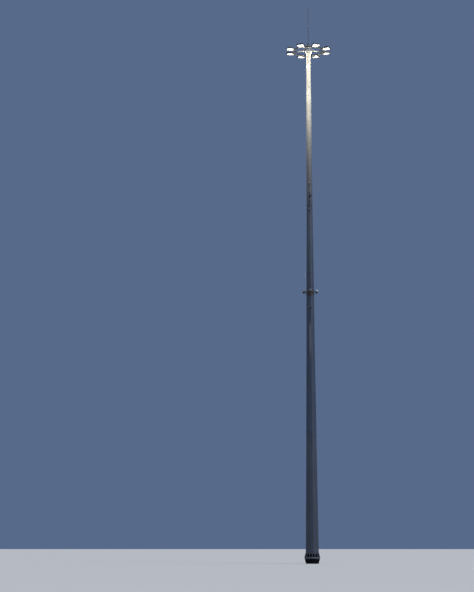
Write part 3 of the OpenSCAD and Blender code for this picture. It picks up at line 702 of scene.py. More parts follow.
def slip_lugs():
    """Lug plates that the slip joints are pulled together by, each with a nut, and the plugged sockets."""
    bright, dull, rings, plugs, welds = Parts(), Parts(), Parts(), Parts(), Parts()
    # The top joint's lugs are built in the paler zinc, as painted light
    places = [(bright, FRONT, z) for z in TOP_LUG_Z]
    for z in SLIP_Z[1:4]:
        top = z == SLIP_Z[3]
        for angle in [FRONT + flat * SIDE_STEP for flat in LUG_FLATS]:
            places += [(bright if top else dull, angle, z + rise) for rise in (LUG_RISE, -LUG_DROP)]
            socket(rings, plugs, angle, z - PLUG_DROP, TOP_PLUG_R if top else PLUG_R)
    for lugs, angle, z in places:
        stand = facing(shaft_r(z) - 0.0005, angle, z)
        lugs.box((LUG_H, LUG_W, LUG_T), stand_off(stand, LUG_T / 2), 0.004)
        lugs.revolve(LUG_NUT, 24, stand_off(stand, LUG_T))
        plugs.revolve(LUG_PLUG, 20, stand_off(stand, LUG_T))
        for way in (-1, 1):
            welds.bead([stand @ Vector((end * LUG_H / 2, way * LUG_W / 2, 0.001)) for end in (-1, 1)],
                       LUG_BEAD)
    for r, heights in SOCKET_HEIGHTS.items():
        for z in heights:
            socket(rings, plugs, FRONT, z, r)
    dull.piece("joint_lugs", STEEL, 40)
    bright.piece("top_joint_lugs", LUG_ZINC, 40)
    welds.piece("joint_lug_welds", WELD, 60)
    rings.piece("shaft_sockets", STEEL, 40)
    plugs.piece("shaft_plugs", PLUG, 40, "dark_paint")


def socket(steel, plugs, angle, z, r):
    """Low welded ring with a black plug set into it."""
    stand = facing(shaft_r(z) - 0.001, angle, z)
    steel.revolve([(r + 0.0035, 0), (r + 0.0035, 0.003), (r + 0.0022, 0.0045), (r, 0.0045), (r, 0.002)],
                  28, stand)
    plugs.revolve([(r - 0.0003, 0.001), (r - 0.0003, 0.0033), (r * 0.92, 0.0040), (r * 0.40, 0.0040),
                   (r * 0.34, 0.0031), (r * 0.05, 0.0031)], 24, stand)


shaft_seams()
slip_edges()
slip_lugs()


# Access door: hinges, locks, drip edge, weld round the frame and the earthing stud under it
HINGE_INSET = 0.090
# Place along the hinge's pin and radius of each knuckle
KNUCKLES = ((-0.022, 0.0065), (0.0, 0.0060), (0.022, 0.0065))
HINGE_PIN = mm((3, -38), (3, 38), (4.5, 39), (4, 42))
HINGE_LEAF = (0.030, 0.003, 0.050)
LOCK_INSET, LOCK_X = 0.130, 0.022
LOCK_CUP = mm((16, 0), (16, 3), (13, 6), (7.5, 6), (7.5, 2))
LOCK_KEY = mm((5.5, 1), (5.5, 5), (5, 5.5))
STIFFENER, STIFFENER_R = (0.058, 0.215, 0.018), 0.0022
FRAME_EDGE, FLAT_EDGE_X = 0.026, 0.05
DOOR_BEAD = 0.0035
DRIP_OVER, DRIP_DEPTH, DRIP_T = 0.012, 0.016, 0.003
STUD_DROP = 0.075
STUD_FOOT = mm((14, 0), (14, 10), (12, 12))


def door_details():
    low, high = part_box("access_door")
    frame_low, frame_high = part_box("door_frame")
    face = high.y
    steel, zinc, weld = Parts(), Parts(), Parts()
    for z in (low.z + HINGE_INSET, high.z - HINGE_INSET):
        pin = at(high.x - 0.004, face + 0.003, z)
        for step, r in KNUCKLES:
            steel.revolve([(r * 0.9, -0.0105), (r, -0.0095), (r, 0.0095), (r * 0.9, 0.0105)], 18,
                          stand_off(pin, step))
        zinc.revolve(HINGE_PIN, 14, pin)
        steel.box(HINGE_LEAF, at(high.x - 0.020, face + 0.0014, z), 0.001)
    for z in (low.z + LOCK_INSET, high.z - LOCK_INSET):
        lock = place((low.x + LOCK_X, face, z), (0, 1, 0))
        zinc.revolve(LOCK_CUP, 28, lock)
        zinc.revolve(LOCK_KEY, 3, lock)
    path = [Vector((x, face + 0.0002, (low.z + high.z) / 2 + y)) for x, y in rounded_outline(*STIFFENER)]
    steel.tube(path + path[:1], [STIFFENER_R] * (len(path) + 1))
    steel.box((frame_high.x - frame_low.x + DRIP_OVER, DRIP_DEPTH, DRIP_T),
              at(0, frame_high.y + 0.003, frame_high.z + 0.0012), 0.002)
    steel.piece("door_hinges", SMALL_STEEL, 40)
    for x in (-frame_high.x - 0.001, frame_high.x + 0.001):
        weld.bead([Vector((x, wall_y(x, z), z))
                   for z in (frame_low.z + FRAME_EDGE, frame_high.z - FRAME_EDGE)], DOOR_BEAD)
    edge_x = frame_high.x - FRAME_EDGE
    for z in (frame_low.z - 0.001, frame_high.z + 0.001):
        flat_y, edge_y = shaft_r(z) + 0.0005, wall_y(FLAT_EDGE_X, z)
        weld.bead([Vector((x, y, z)) for x, y in ((-edge_x, edge_y), (-FLAT_EDGE_X, flat_y),
                                                  (FLAT_EDGE_X, flat_y), (edge_x, edge_y))], DOOR_BEAD)
    weld.piece("door_welds", WELD, 60)
    stud_z = frame_low.z - STUD_DROP
    stud = place((0, shaft_r(stud_z) - 0.001, stud_z), (0, 1, 0))
    zinc.revolve(STUD_FOOT, 22, stud)
    zinc.bolt(stand_off(stud, STUD_FOOT[-1][1]), *STUD_NUT)
    zinc.piece("door_fittings", ZINC, 35)


door_details()


# Service collar: band bolts, arm bolts and welds
BAND_T, BAND_H = 0.006, 0.050
EAR_GAP, EAR_LEN, EAR_T = 0.006, 0.024, 0.006
ARM_W, ARM_PAD_W, PAD_T = 0.018, 0.040, 0.006
ARM_BEAD = 0.0026
PAD_BOLT_LIFT = 0.015
DOME_R, HOOD_R, HOOD_LIP = 0.278, 0.070, 0.003
BUBBLE_R = 0.045
DIAGONALS = (pi / 4, 5 * pi / 4)
# Rings and screws of a dome unit, from the middle of its hood's lower edge
NECK_RING = mm((45.2, -54), (48, -52), (48, -44), (46, -42), (43, -42))
BUBBLE_RING = mm((44, -9), (52, -6), (52, -0.1), (44, 0))
HOOD_SEAM = mm((68, 34), (71.2, 34.5), (71.2, 36.5), (68, 37))
HOOD_CAP = mm((20, -1), (20, 0), (18, 3), (10, 4.5), (1, 5))
HOOD_SCREW = mm((2.2, -1), (2.2, 0.8), (1.6, 1.4))
BUBBLE_SCREW = mm((1.6, 0), (1.6, 0.8), (1, 1.3))


def collar_bolts():
    parts = Parts()
    for low in BAND_Z:
        root, middle = shaft_r(low) + BAND_T, low + BAND_H / 2
        for angle in DIAGONALS:
            parts.through_bolt(polar(root + EAR_LEN / 2, angle, middle), out(angle + pi / 2),
                               EAR_GAP + 2 * EAR_T)
        for angle in turns(4):
            for way, lift in SQUARE:
                spot = facing(root + PAD_T, angle, middle + lift * PAD_BOLT_LIFT,
                              way * (ARM_W + ARM_PAD_W) / 4)
                parts.bolt(spot, *PAD_BOLT)
    parts.piece("collar_bolts", ZINC, 35)


def arm_welds():
    parts = Parts()
    (arm_r, arm_z), (strut_r, strut_z) = [(shaft_r(z) + BAND_T + PAD_T, z + BAND_H / 2) for z in BAND_Z]
    end_r, under_z = DOME_R - HOOD_R, arm_z - ARM_W / 2
    for angle in turns(4):
        parts.bead_frame(arm_r, angle, arm_z, ARM_W, ARM_W, ARM_BEAD)
        for shift in (-ARM_W / 3, ARM_W / 3):
            parts.bead([polar(strut_r, angle, strut_z + up * ARM_W / 2, shift) for up in (-1, 1)], ARM_BEAD)
            parts.bead([polar(r, angle, under_z, shift) for r in (end_r - ARM_W, end_r)], ARM_BEAD)
    parts.piece("arm_welds", WELD, 60)


def dome_trims():
    """Collars, seams and screws of the four dome units."""
    dark, white, zinc = Parts(), Parts(), Parts()
    hood_z, top_z = (corner.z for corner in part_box("dome_hoods"))
    for angle in turns(4):
        centre = polar(DOME_R, angle, hood_z)
        dark.revolve(NECK_RING, 48, at(*centre))
        dark.revolve(BUBBLE_RING, 48, at(*centre))
        white.revolve(HOOD_SEAM, 56, at(*centre))
        white.revolve(HOOD_CAP, 32, at(*polar(DOME_R, angle, top_z)))
        for turn in turns(4, 0.5):
            way = out(angle + turn)
            screw = centre + way * (HOOD_R + HOOD_LIP) + Vector((0, 0, 0.004))
            zinc.revolve(HOOD_SCREW, 12, place(screw, way))
        for turn in turns(3):
            screw = centre + out(angle + turn) * (BUBBLE_R + 0.0045) + Vector((0, 0, -0.0062))
            zinc.revolve(BUBBLE_SCREW, 10, place(screw, (0, 0, -1)))
    dark.piece("dome_collars", DARK, 40, "dark_dome")
    white.piece("hood_seams", WHITE, 40, "white_plastic")
    zinc.piece("dome_screws", ZINC, 40)


collar_bolts()
arm_welds()
dome_trims()


# Side antenna, and the two service boxes
CAP_OVER, CAP_CORNER = 0.0012, 0.0095
# Rise and scale of the rings that make up a cap or a raised panel
CAP_LEVELS = ((-0.010, 1.0), (0.001, 1.0), (0.003, 0.93))
ANTENNA_ENTRY = mm((5.5, 0), (5.5, 3), (4.2, 3), (4.2, 12), (3.4, 13))
ANTENNA_SCREW = mm((2.4, 0), (2.4, 1), (1.6, 1.6))
ENTRY_Y, BRACKET_NUT_INSET = 0.014, 0.030
BRACKET_SCREW_Y, BRACKET_SCREW_INSET = 0.008, 0.003
BOX_W, BOX_H, BOX_DEPTH = 0.130, 0.084, 0.056
BOX_BACK_T, BOX_LID_T, BOX_LID_OVER = 0.006, 0.008, 0.003
# The lid's screws and panel keep to a field that is so far under the box's top, and so high
LID_DROP, LID_FIELD = 0.003, 0.075
LID_SCREW = mm((4.2, 0), (4.2, 1.2), (3, 2.6), (0.6, 3))
LID_SCREW_INSET = 0.008
LID_PANEL = ((-0.001, 1.0), (0.0012, 1.0), (0.0018, 0.97))
PANEL_INSET, PANEL_HALF_H, PANEL_CORNER = 0.018, 0.022, 0.006
GLAND_X = (-BOX_W / 4, 0.0, BOX_W / 4)
BOX_GLAND_R, BOX_GLAND_LEN = 0.008, 0.016
GLAND_NUT = mm((9.8, 0), (10.4, 1), (10.4, 6), (9.8, 7))
GLAND_END = mm((7.5, 0), (7, 4), (4.5, 6), (0.8, 6.6))
# The second box stands over a slip joint as the first does, a little to the right of the middle
BOX_RISE = 0.438
UPPER_BOX_SHIFT = at(0.022, 0, 0)


def antenna_details():
    low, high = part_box("side_antenna")
    middle, half = (low + high) / 2, (high - low) / 2
    outline = rounded_outline(half.x + CAP_OVER, half.y + CAP_OVER, CAP_CORNER)
    white, zinc = Parts(), Parts()
    for z, way in ((low.z, -1), (high.z, 1)):
        white.loft([raised(outline, z + way * rise, scale) for rise, scale in CAP_LEVELS[::way]],
                   at(middle.x, middle.y, 0))
    for y in (-ENTRY_Y, ENTRY_Y):
        zinc.revolve(ANTENNA_ENTRY, 20, place((middle.x, y, low.z - 0.003), (0, 0, -1)))
    bracket_low, bracket_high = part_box("antenna_bracket")
    for z in (bracket_low.z + BRACKET_NUT_INSET, bracket_high.z - BRACKET_NUT_INSET):
        zinc.bolt(place((bracket_high.x - 0.006, 0, z), (-1, 0, 0)), *BRACKET_NUT)
    for z in (bracket_low.z + BRACKET_SCREW_INSET, bracket_high.z - BRACKET_SCREW_INSET):
        for y in (-BRACKET_SCREW_Y, BRACKET_SCREW_Y):
            zinc.revolve(ANTENNA_SCREW, 12, place((low.x - 0.0002, y, z), (-1, 0, 0)))
    white.piece("antenna_caps", PALE, 35, "white_plastic")
    zinc.piece("antenna_fittings", ZINC, 40)


def upper_box():
    """Second service box, of the same make as the junction box. Returns its corners before it is shifted."""
    low = SLIP_Z[3] + BOX_RISE - BOX_H / 2
    back = -shaft_r(low)
    gland_low = low + BOX_BACK_T - BOX_GLAND_LEN
    body_depth, body_h = BOX_DEPTH - BOX_LID_T - BOX_BACK_T, BOX_H - 2 * BOX_BACK_T
    lid_w, lid_h = BOX_W + 2 * BOX_LID_OVER, body_h + 2 * BOX_LID_OVER
    slabs = ((BOX_W - 2 * BOX_BACK_T, BOX_BACK_T, BOX_H, back - BOX_BACK_T / 2),
             (BOX_W, body_depth, body_h, back - BOX_BACK_T - body_depth / 2),
             (lid_w, BOX_LID_T, lid_h, back - BOX_DEPTH + BOX_LID_T / 2))
    shell = Parts()
    for width, depth, height, y in slabs:
        shell.box((width, depth, height), UPPER_BOX_SHIFT @ at(0, y, low + BOX_H / 2), 0.0015)
    for x in GLAND_X:
        shell.revolve([(BOX_GLAND_R, 0), (BOX_GLAND_R, BOX_GLAND_LEN + 0.001)], 24,
                      UPPER_BOX_SHIFT @ at(x, back - BOX_DEPTH / 2, gland_low))
    shell.piece("upper_service_box", BOX_PAINT, 35, "dark_paint")
    return Vector((-lid_w / 2, back - BOX_DEPTH, gland_low)), Vector((lid_w / 2, back, low + BOX_H))


def box_details(name, low, high, shift=Matrix()):
    """Lid screws, lid panel and gland nuts of a service box between two corners, which are then shifted."""
    zinc, dark = Parts(), Parts()
    half_w = (high.x - low.x) / 2
    lid_z = high.z - LID_DROP - LID_FIELD / 2
    for x_side, z_side in SQUARE:
        x, z = x_side * (half_w - LID_SCREW_INSET), lid_z + z_side * (LID_FIELD / 2 - LID_SCREW_INSET)
        zinc.revolve(LID_SCREW, 16, shift @ place((x, low.y, z), (0, -1, 0)))
    panel = rounded_outline(half_w - PANEL_INSET, PANEL_HALF_H, PANEL_CORNER)
    dark.loft([raised(panel, rise, scale) for rise, scale in LID_PANEL],
              shift @ place((0, low.y, lid_z), (0, -1, 0), (1, 0, 0)))
    for x in GLAND_X:
        gland = shift @ place((x, low.y + BOX_DEPTH / 2, low.z), (0, 0, -1))
        dark.revolve(GLAND_NUT, 6, stand_off(gland, -0.006))
        dark.revolve(GLAND_END, 20, stand_off(gland, -0.0003))
    zinc.piece(f"{name}_screws", ZINC, 40)
    dark.piece(f"{name}_fittings", BOX_PAINT, 35, "dark_paint")


antenna_details()
box_details("junction_box", *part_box("junction_box"))
box_details("upper_box", *upper_box(), UPPER_BOX_SHIFT)


# Head: flange bolts, welds, hood screws and seams, socket screws and the rod's coupling
HEAD_T, HEAD_PCD = 0.011, 0.250
HEAD_BEAD = 0.0035
DRUM_R = 0.106
DRUM_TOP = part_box("head_hood")[0].z + 0.024
HOOD_EAVE_R, HOOD_TOP_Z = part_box("head_hood")[1].xz
HOOD_SEAM_R, HOOD_SEAM_TURN = 0.0022, 0.2
HOOD_BOLT_DROP = 0.012
SOCKET_R, SOCKET_BOLT_R = 0.018, 0.027
SET_SCREW_TURN, SET_SCREW_DROPS = -0.6, (0.014, 0.044)
ROD_SLEEVE = mm((11.2, -30), (15.2, -26), (15.2, 4), (11.2, 12), (8.2, 14))
ROD_COLLAR = mm((11.2, -4), (17.2, -3), (17.2, 3), (11.2, 6))
# Height of the rod's upper, thinner part over its foot
ROD_STEP = 0.860


def head_details():
    zinc, weld = Parts(), Parts()
    plate_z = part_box("head_plate")[0].z
    for angle in turns(8, 0.5):
        zinc.through_bolt(polar(HEAD_PCD / 2, angle, plate_z + HEAD_T), (0, 0, 1), 2 * HEAD_T)
        zinc.bolt(facing(HOOD_EAVE_R - 0.0003, angle, DRUM_TOP - HOOD_BOLT_DROP), *HOOD_BOLT)
    weld.bead_loop(shaft_r(plate_z - 0.001), plate_z - 0.001, HEAD_BEAD)
    weld.bead_loop(DRUM_R, plate_z + 2 * HEAD_T, HEAD_BEAD)
    seam = ((HOOD_EAVE_R - 0.004, DRUM_TOP + 0.0040), (0.040, HOOD_TOP_Z - 0.0010))
    for angle in turns(6):
        weld.tube([polar(r, angle + HOOD_SEAM_TURN, z) for r, z in seam], [HOOD_SEAM_R] * 2)
    for angle in turns(4, 0.5):
        zinc.bolt(at(*polar(SOCKET_BOLT_R, angle, HOOD_TOP_Z + 0.008)), *SOCKET_NUT)
    socket_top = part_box("rod_socket")[1].z
    for angle in turns(3):
        for drop in SET_SCREW_DROPS:
            zinc.bolt(facing(SOCKET_R - 0.0005, angle + SET_SCREW_TURN, socket_top - drop), *SET_SCREW)
    zinc.revolve(ROD_SLEEVE, 24, at(0, 0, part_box("lightning_rod")[0].z + ROD_STEP))
    zinc.revolve(ROD_COLLAR, 24, at(0, 0, socket_top + 0.001))
    zinc.piece("head_bolts", ZINC, 35)
    weld.piece("head_welds", WELD, 60)


head_details()


# Ring: splices, spoke welds, pad welds, and the bolts that hold the stirrups
RING_Z, RING_R = 22.500, 0.67795
RING_WEB_T, RING_H, RING_W = 0.005, 0.060, 0.038
RING_IN = RING_R - RING_WEB_T
SPOKE_W, SPOKE_H = 0.032, 0.044
KNEE_LEN, KNEE_H, KNEE_T = 0.190, 0.130, 0.006
PAD_W, PAD_OUT, PAD_PITCH = 0.096, 0.008, 0.060
STRAP_T = 0.006
SPLICE_TURN, SPLICE = 0.045, (0.040, 0.060, 0.005)
SPLICE_BOLT_Z, SPLICE_BOLT_X, SPLICE_BOLT, SPLICE_GRIP = 0.012, 0.018, 0.008, 0.011
PAD_BEAD, DRUM_BEAD, RING_BEAD, SPLIT_BEAD = 0.0030, 0.0032, 0.0028, 0.0015


def ring_details():
    zinc, weld, steel = Parts(), Parts(), Parts()
    levels = (RING_Z - RING_H / 2, RING_Z + RING_H / 2)
    grip = STRAP_T + PAD_OUT + RING_WEB_T
    pad_edge_r = sqrt(RING_R ** 2 - (PAD_W / 2) ** 2)
    for angle in turns(LAMPS, 0.5):
        for way in (-1, 1):
            zinc.through_bolt(polar(RING_IN + grip / 2, angle, RING_Z, way * PAD_PITCH / 2), out(angle), grip)
            weld.bead([polar(pad_edge_r, angle, z, way * PAD_W / 2) for z in levels], PAD_BEAD)
    for angle in turns(4):
        for r, size in ((DRUM_R, DRUM_BEAD), (RING_IN, RING_BEAD)):
            weld.bead_frame(r, angle, RING_Z, SPOKE_W, SPOKE_H, size)
        for shift in (-KNEE_T / 2, KNEE_T / 2):
            for along, up in ((0, KNEE_H), (KNEE_LEN, 0)):
                weld.bead([polar(DRUM_R + k * along, angle, RING_Z + SPOKE_H / 2 + k * up, shift)
                           for k in (0, 1)], RING_BEAD)
    for angle in DIAGONALS:
        for turn in (angle - SPLICE_TURN, angle + SPLICE_TURN):
            steel.box(SPLICE, facing(RING_IN - 0.0030, turn, RING_Z), 0.002)
            for side, up in SQUARE:
                spot = polar(RING_IN - 0.0005, turn, RING_Z + up * SPLICE_BOLT_Z, side * SPLICE_BOLT_X)
                zinc.through_bolt(spot, -out(turn), SPLICE_GRIP, SPLICE_BOLT, 0.3)
        for z in levels:
            weld.bead([polar(r, angle, z) for r in (RING_R - RING_W, RING_R)], SPLIT_BEAD)
        weld.bead([polar(RING_R, angle, z) for z in levels], SPLIT_BEAD)
    zinc.piece("ring_bolts", ZINC, 35)
    weld.piece("ring_welds", WELD, 60)
    steel.piece("ring_splices", SMALL_STEEL, 35)


ring_details()


# Lamps: built at the tilt axis of each floodlight, with +X away from the mast
LAMP_W, LAMP_L, LAMP_BODY = 0.320, 0.296, 0.052
LAMP_CORNER = 0.022
LAMP_WALL, LAMP_SHOULDER = 0.005, 0.007
RIM_W = 0.016
GLASS_T, LAMP_TOP_T = 0.005, 0.006
GLASS_LOW = -LAMP_BODY / 2 + 0.002
CEILING = LAMP_BODY / 2 - LAMP_TOP_T
FIN_INSET, FIN_T, FIN_COUNT = 0.014, 0.003, 13
FIN_SPAN = LAMP_W - 2 * FIN_INSET - FIN_T
FIN_PITCH = FIN_SPAN / (FIN_COUNT - 1)
GEAR_W, GEAR_L, GEAR_H = 0.110, 0.150, 0.026
GEAR_LID_Z = LAMP_BODY / 2 + GEAR_H + 0.005
STIRRUP_FACE = LAMP_W / 2 + 0.006 + STRAP_T
KNOB_IN = STIRRUP_FACE + 0.0003
KNOB_R, KNOB_T = 0.012, 0.008
KNOB_RIBS = 14
BOARD_T = 0.003
LENS_ROWS, LENS_COLUMNS, LENS_MARGIN = 8, 9, 0.076
LENS_DOME = mm((10, 0), (10, 2), (8.6, 5.2), (5.2, 7.6), (1, 8.6))
REFLECTOR_T = 0.0015
RIM_SCREW = mm((4, -0.5), (4, 1), (3, 2), (1.8, 2.2), (1.8, 1))
GEAR_SCREW = mm((3.8, -0.5), (3.8, 1.4), (3, 2.6), (1.2, 2.8))
# Screws in the rim's two longer bars, as shares of the outermost one's place, and the insets of the screws
LONG_BAR_SHARES = (-1, -0.34, 0.34, 1)
LONG_BAR_INSET, SHORT_BAR_INSET, GEAR_SCREW_INSET = 0.030, 0.050, 0.008
GRIP_RIB = mm((1.2, -3.36), (1.6, -2.88), (1.6, 2.88), (1.2, 3.36))
# Number of sides and profile of each part of the gear box's gland
GEAR_GLAND = ((6, mm((8.5, 0.5), (9, 1.5), (9, 6.5), (8.5, 7.5))),
              (6, mm((8.2, 10), (8.8, 11), (8.8, 16.5), (8, 18))),
              (20, mm((6, 17.8), (5.6, 20.5), (3.4, 22.2), (0.6, 22.6))))
FIN_TIE_X, FIN_TIE_W, FIN_TIE_H = 0.105, 0.004, 0.0082
GEAR_PANEL = ((-0.0005, 1.0), (0.0010, 1.0), (0.0018, 0.97))
# Marks of the tilt scales: every 10 degrees round the pivot, by turns long and short
MARK_DEGREES = range(-20, 60, 10)
MARK_LENGTHS = (0.0042, 0.0028)
MARK_R, MARK_W, MARK_T = 0.0140, 0.0005, 0.0004
joint_of = {joint["child"]: joint for joint in frame["joints"]}


def lamp_matrix(k, tilt=LAMP_TILT):
    x, y, z = joint_of[f"floodlight_{k}"]["pos_m"]
    return at(x, y, z) @ Matrix.Rotation(atan2(y, x), 4, "Z") @ Matrix.Rotation(-tilt, 4, "Y")


def inset(distance, corner):
    """Outline of the housing, drawn in by a distance."""
    return rounded_outline(LAMP_L / 2 - distance, LAMP_W / 2 - distance, corner)


def led_board(parts, spot):
    """Dark board under the housing's ceiling."""
    board = inset(LAMP_SHOULDER + LAMP_WALL + 0.002, 0.012)
    parts.loft([raised(board, z) for z in (CEILING - BOARD_T, CEILING - 0.0002)], spot)


def lamp_reflector(parts, spot):
    """Bright frame that slopes from the board to the glass."""
    high, low = inset(0.026, 0.012), inset(RIM_W + 0.0045, 0.014)
    high_z, low_z = CEILING - BOARD_T - 0.0005, GLASS_LOW + GLASS_T + 0.0040
    parts.loft([raised(high, high_z), raised(low, low_z), grown(low, low_z + REFLECTOR_T),
                grown(high, high_z)], spot, hollow=True)


def grown(outline, z):
    """Ring over an outline that is scaled outwards by the reflector's thickness at its farthest points."""
    far = max(max(abs(x), abs(y)) for x, y in outline)
    return raised(outline, z, 1 + REFLECTOR_T / far)


def led_lenses(parts, spot):
    for i in range(LENS_ROWS):
        for j in range(LENS_COLUMNS):
            x = (i - (LENS_ROWS - 1) / 2) * (LAMP_L - LENS_MARGIN) / (LENS_ROWS - 1)
            y = (j - (LENS_COLUMNS - 1) / 2) * (LAMP_W - LENS_MARGIN) / (LENS_COLUMNS - 1)
            parts.revolve(LENS_DOME, 12, spot @ place((x, y, CEILING - BOARD_T), (0, 0, -1)))


def lamp_gasket(parts, spot):
    """Rubber seal that shows as a thin frame between the rim and the glass."""
    corner = LAMP_CORNER - RIM_W / 2
    outer, inner = inset(RIM_W, corner), inset(RIM_W + 0.005, corner - 0.004)
    low, high = GLASS_LOW - 0.0012, GLASS_LOW - 0.0001
    parts.loft([raised(outer, low), raised(outer, high), raised(inner, high), raised(inner, low)], spot,
               hollow=True)


def lamp_fasteners(parts, spot):
    """Rim screws, screws of the gear box's lid, and hexagon ends of the pins."""
    places = [(x * (LAMP_L / 2 - RIM_W / 2), y * (LAMP_W / 2 - LONG_BAR_INSET))
              for x in (-1, 1) for y in LONG_BAR_SHARES]
    places += [(x * (LAMP_L / 2 - SHORT_BAR_INSET), y * (LAMP_W / 2 - RIM_W / 2))
               for x in (-1, 0, 1) for y in (-1, 1)]
    for x, y in places:
        parts.revolve(RIM_SCREW, 16, spot @ place((x, y, -LAMP_BODY / 2), (0, 0, -1)))
    half_l, half_w = GEAR_L / 2 - GEAR_SCREW_INSET, GEAR_W / 2 - GEAR_SCREW_INSET
    for x, y in SQUARE:
        parts.revolve(GEAR_SCREW, 16, spot @ at(x * half_l, y * half_w, GEAR_LID_Z))
    for way in (-1, 1):
        parts.bolt(spot @ place((0, way * (KNOB_IN + KNOB_T), 0), (0, way, 0)), *PIN_NUT)


def lamp_grips(parts, spot):
    """Ribbed grips on the lock knobs, and the plugged gland of the gear box."""
    for way in (-1, 1):
        for a in turns(KNOB_RIBS):
            rib = place((KNOB_R * cos(a), way * (KNOB_IN + KNOB_T / 2), KNOB_R * sin(a)), (0, way, 0))
            parts.revolve(GRIP_RIB, 8, spot @ rib)
    gland = spot @ place((-GEAR_L / 2, FIN_PITCH / 2, LAMP_BODY / 2 + GEAR_H / 2), (-1, 0, 0))
    for sides, profile in GEAR_GLAND:
        parts.revolve(profile, sides, gland)


def lamp_ribs(parts, spot):
    """Two low bars that tie the cooling fins together, and the lid's raised panel."""
    for x in (-FIN_TIE_X, FIN_TIE_X):
        parts.box((FIN_TIE_W, FIN_SPAN, FIN_TIE_H), spot @ at(x, 0, LAMP_BODY / 2 + 0.004), 0.001)
    lid = rounded_outline(GEAR_L / 2 - 0.016, GEAR_W / 2 - 0.016, 0.008)
    parts.loft([raised(lid, GEAR_LID_Z + rise, scale) for rise, scale in GEAR_PANEL], spot)


def stirrup_scales():
    """Degree marks round each pivot on the legs' outer faces."""
    parts = Parts()
    for k in LAMP_NUMBERS:
        for way in (-1, 1):
            for j, degrees in enumerate(MARK_DEGREES):
                a, length = pi + radians(degrees), MARK_LENGTHS[j % 2]
                r = MARK_R + length / 2
                mark = place((r * cos(a), way * STIRRUP_FACE, r * sin(a)), (0, way, 0), (cos(a), 0, sin(a)))
                parts.box((length, MARK_W, MARK_T), lamp_matrix(k, 0.0) @ mark)
    parts.piece("stirrup_scales", DARK, 0, "dark_paint")


for k in LAMP_NUMBERS:
    for part, build, material, smooth, slot in (
            ("board", led_board, BOARD, 0, "lamp_glass"),
            ("reflector", lamp_reflector, REFLECTOR, 0, "lamp_aluminium"),
            ("lenses", led_lenses, LENS, 50, "lamp_glass"),
            ("gasket", lamp_gasket, RUBBER, 0, "dark_paint"),
            ("ribs", lamp_ribs, LAMP_METAL, 35, "lamp_aluminium"),
            ("grips", lamp_grips, RUBBER, 40, "dark_paint"),
            ("fasteners", lamp_fasteners, ZINC, 35, "galvanised_steel")):
        parts = Parts()
        build(parts, lamp_matrix(k))
        parts.piece(f"lamp_{k}_{part}", material, smooth, slot, f"floodlight_{k}")
stirrup_scales()


# Stage and light
FLOOR_HALF = 300.0
LAMP_TINT = (1.0, 0.76, 0.43)
SPILL_R, SPILL_Z = 0.52, 0.16


def make_floor():
    mesh = bpy.data.meshes.new("floor")
    mesh.from_pydata([(x * FLOOR_HALF, y * FLOOR_HALF, 0) for x, y in SQUARE], [], [(0, 1, 2, 3)])
    mesh.materials.append(Surface("floor", Roughness=0.9, Base_Color=(0.56, 0.57, 0.58, 1)).owner)
    floor = add_object("floor", mesh)


def make_world():
    """Pale light all round, and a slate backdrop that only the camera, mirrors and glass see."""
    scene.world = bpy.data.worlds.new("studio")
    g = Graph(scene.world)
    shade = g.node("Background", 0, {"Color": (0.78, 0.84, 0.95, 1), "Strength": 0.55})
    seen = g.node("Background", 0, {"Color": as_colour("#586a8a"), "Strength": 1.0})
    camera, glossy, through = (g.node("LightPath", f"Is {kind} Ray", {})
                               for kind in ("Camera", "Glossy", "Transmission"))
    share = g.maths("MAXIMUM", camera, g.maths("MAXIMUM", glossy, through))
    mixed = g.node("MixShader", 0, {0: share, 1: shade, 2: seen})
    g.feed(g.tree.nodes["World Output"].inputs["Surface"], mixed)


def make_light(name, kind, energy, aim):
    """Light that shines along the direction aim."""
    data = bpy.data.lights.new(name, kind)
    data.energy = energy
    light = add_object(name, data)
    light.rotation_mode = "QUATERNION"
    light.rotation_quaternion = (-aim).to_track_quat("Z", "Y")
    return light


def make_sun(name, strength, width, elevation, azimuth):
    """Sun of an angular width, from an azimuth counted to the right of the front."""
    e, a = radians(elevation), radians(azimuth)
    sun = make_light(name, "SUN", strength, -Vector((sin(a) * cos(e), -cos(a) * cos(e), sin(e))))
    sun.data.angle = radians(width)


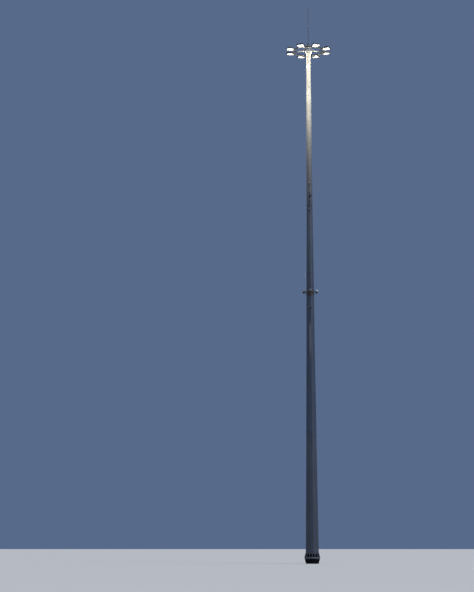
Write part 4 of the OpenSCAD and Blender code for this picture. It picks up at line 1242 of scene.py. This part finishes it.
def make_spot(name, location, aim, cone, power, soft):
    """Spot of the floodlights' tint, with the half cone in degrees."""
    light = make_light(name, "SPOT", power, aim)
    light.data.color = LAMP_TINT
    light.data.spot_size = radians(2 * cone)
    light.data.spot_blend = 1.0
    light.data.shadow_soft_size = soft
    light.location = location
    light.light_linking.receiver_collection = lamp_receivers


def make_lamplight(name, aim, cone, power):
    """The floodlights' own light on the top of the mast: spots aimed inwards from straight down."""
    for k in LAMP_NUMBERS:
        location = lamp_matrix(k) @ Vector((0, 0, -LAMP_BODY))
        inward = -Vector((location.x, location.y, 0)).normalized()
        axis = inward * sin(radians(aim)) - Vector((0, 0, cos(radians(aim))))
        make_spot(f"{name}_{k}", location, axis, cone, power, 0.03)


def make_spill(power):
    """Stray light of the floodlights on the drum, the hood and the spokes."""
    for k, angle in enumerate(turns(LAMPS, 0.5)):
        location = polar(SPILL_R, angle, RING_Z - SPILL_Z)
        make_spot(f"spill_{k + 1}", location, Vector((0, 0, RING_Z + SPILL_Z)) - location, 50, power, 0.05)


# The lamps' own light leaves out the floor, and the pieces that it would bleach
make_floor()
lamp_receivers = bpy.data.collections.new("lamp_receivers")
left_out = ["floor", "dome_hoods", "hood_seams", "side_antenna", "antenna_caps", "junction_box",
            "junction_box_fittings", "upper_service_box", "upper_box_fittings", "shaft_plugs"]
left_out += [f"lamp_{k}_{part}" for k in LAMP_NUMBERS
             for part in ("glass", "gasket", "lenses", "board", "reflector")]
for name in left_out:
    lamp_receivers.objects.link(bpy.data.objects[name])
for item in lamp_receivers.collection_objects:
    item.light_linking.link_state = "EXCLUDE"
make_world()
make_sun("key", 2.15, 30, 38, 62)
make_sun("fill", 0.2, 60, 25, -60)
# Angle from straight down, half cone and power of each set of spots, from the farthest reach to the nearest
for name, aim, cone, power in (("far_light", 11.5, 6.0, 2300.0), ("mid_light", 17.0, 9.0, 1900.0),
                               ("low_light", 11.0, 20.0, 2250.0), ("wide_light", 18.0, 24.0, 1000.0),
                               ("top_light", 40.0, 19.0, 420.0), ("near_light", 26.5, 88.0, 196.0)):
    make_lamplight(name, aim, cone, power)
make_spill(38.0)

scene.view_settings.view_transform = "Standard"
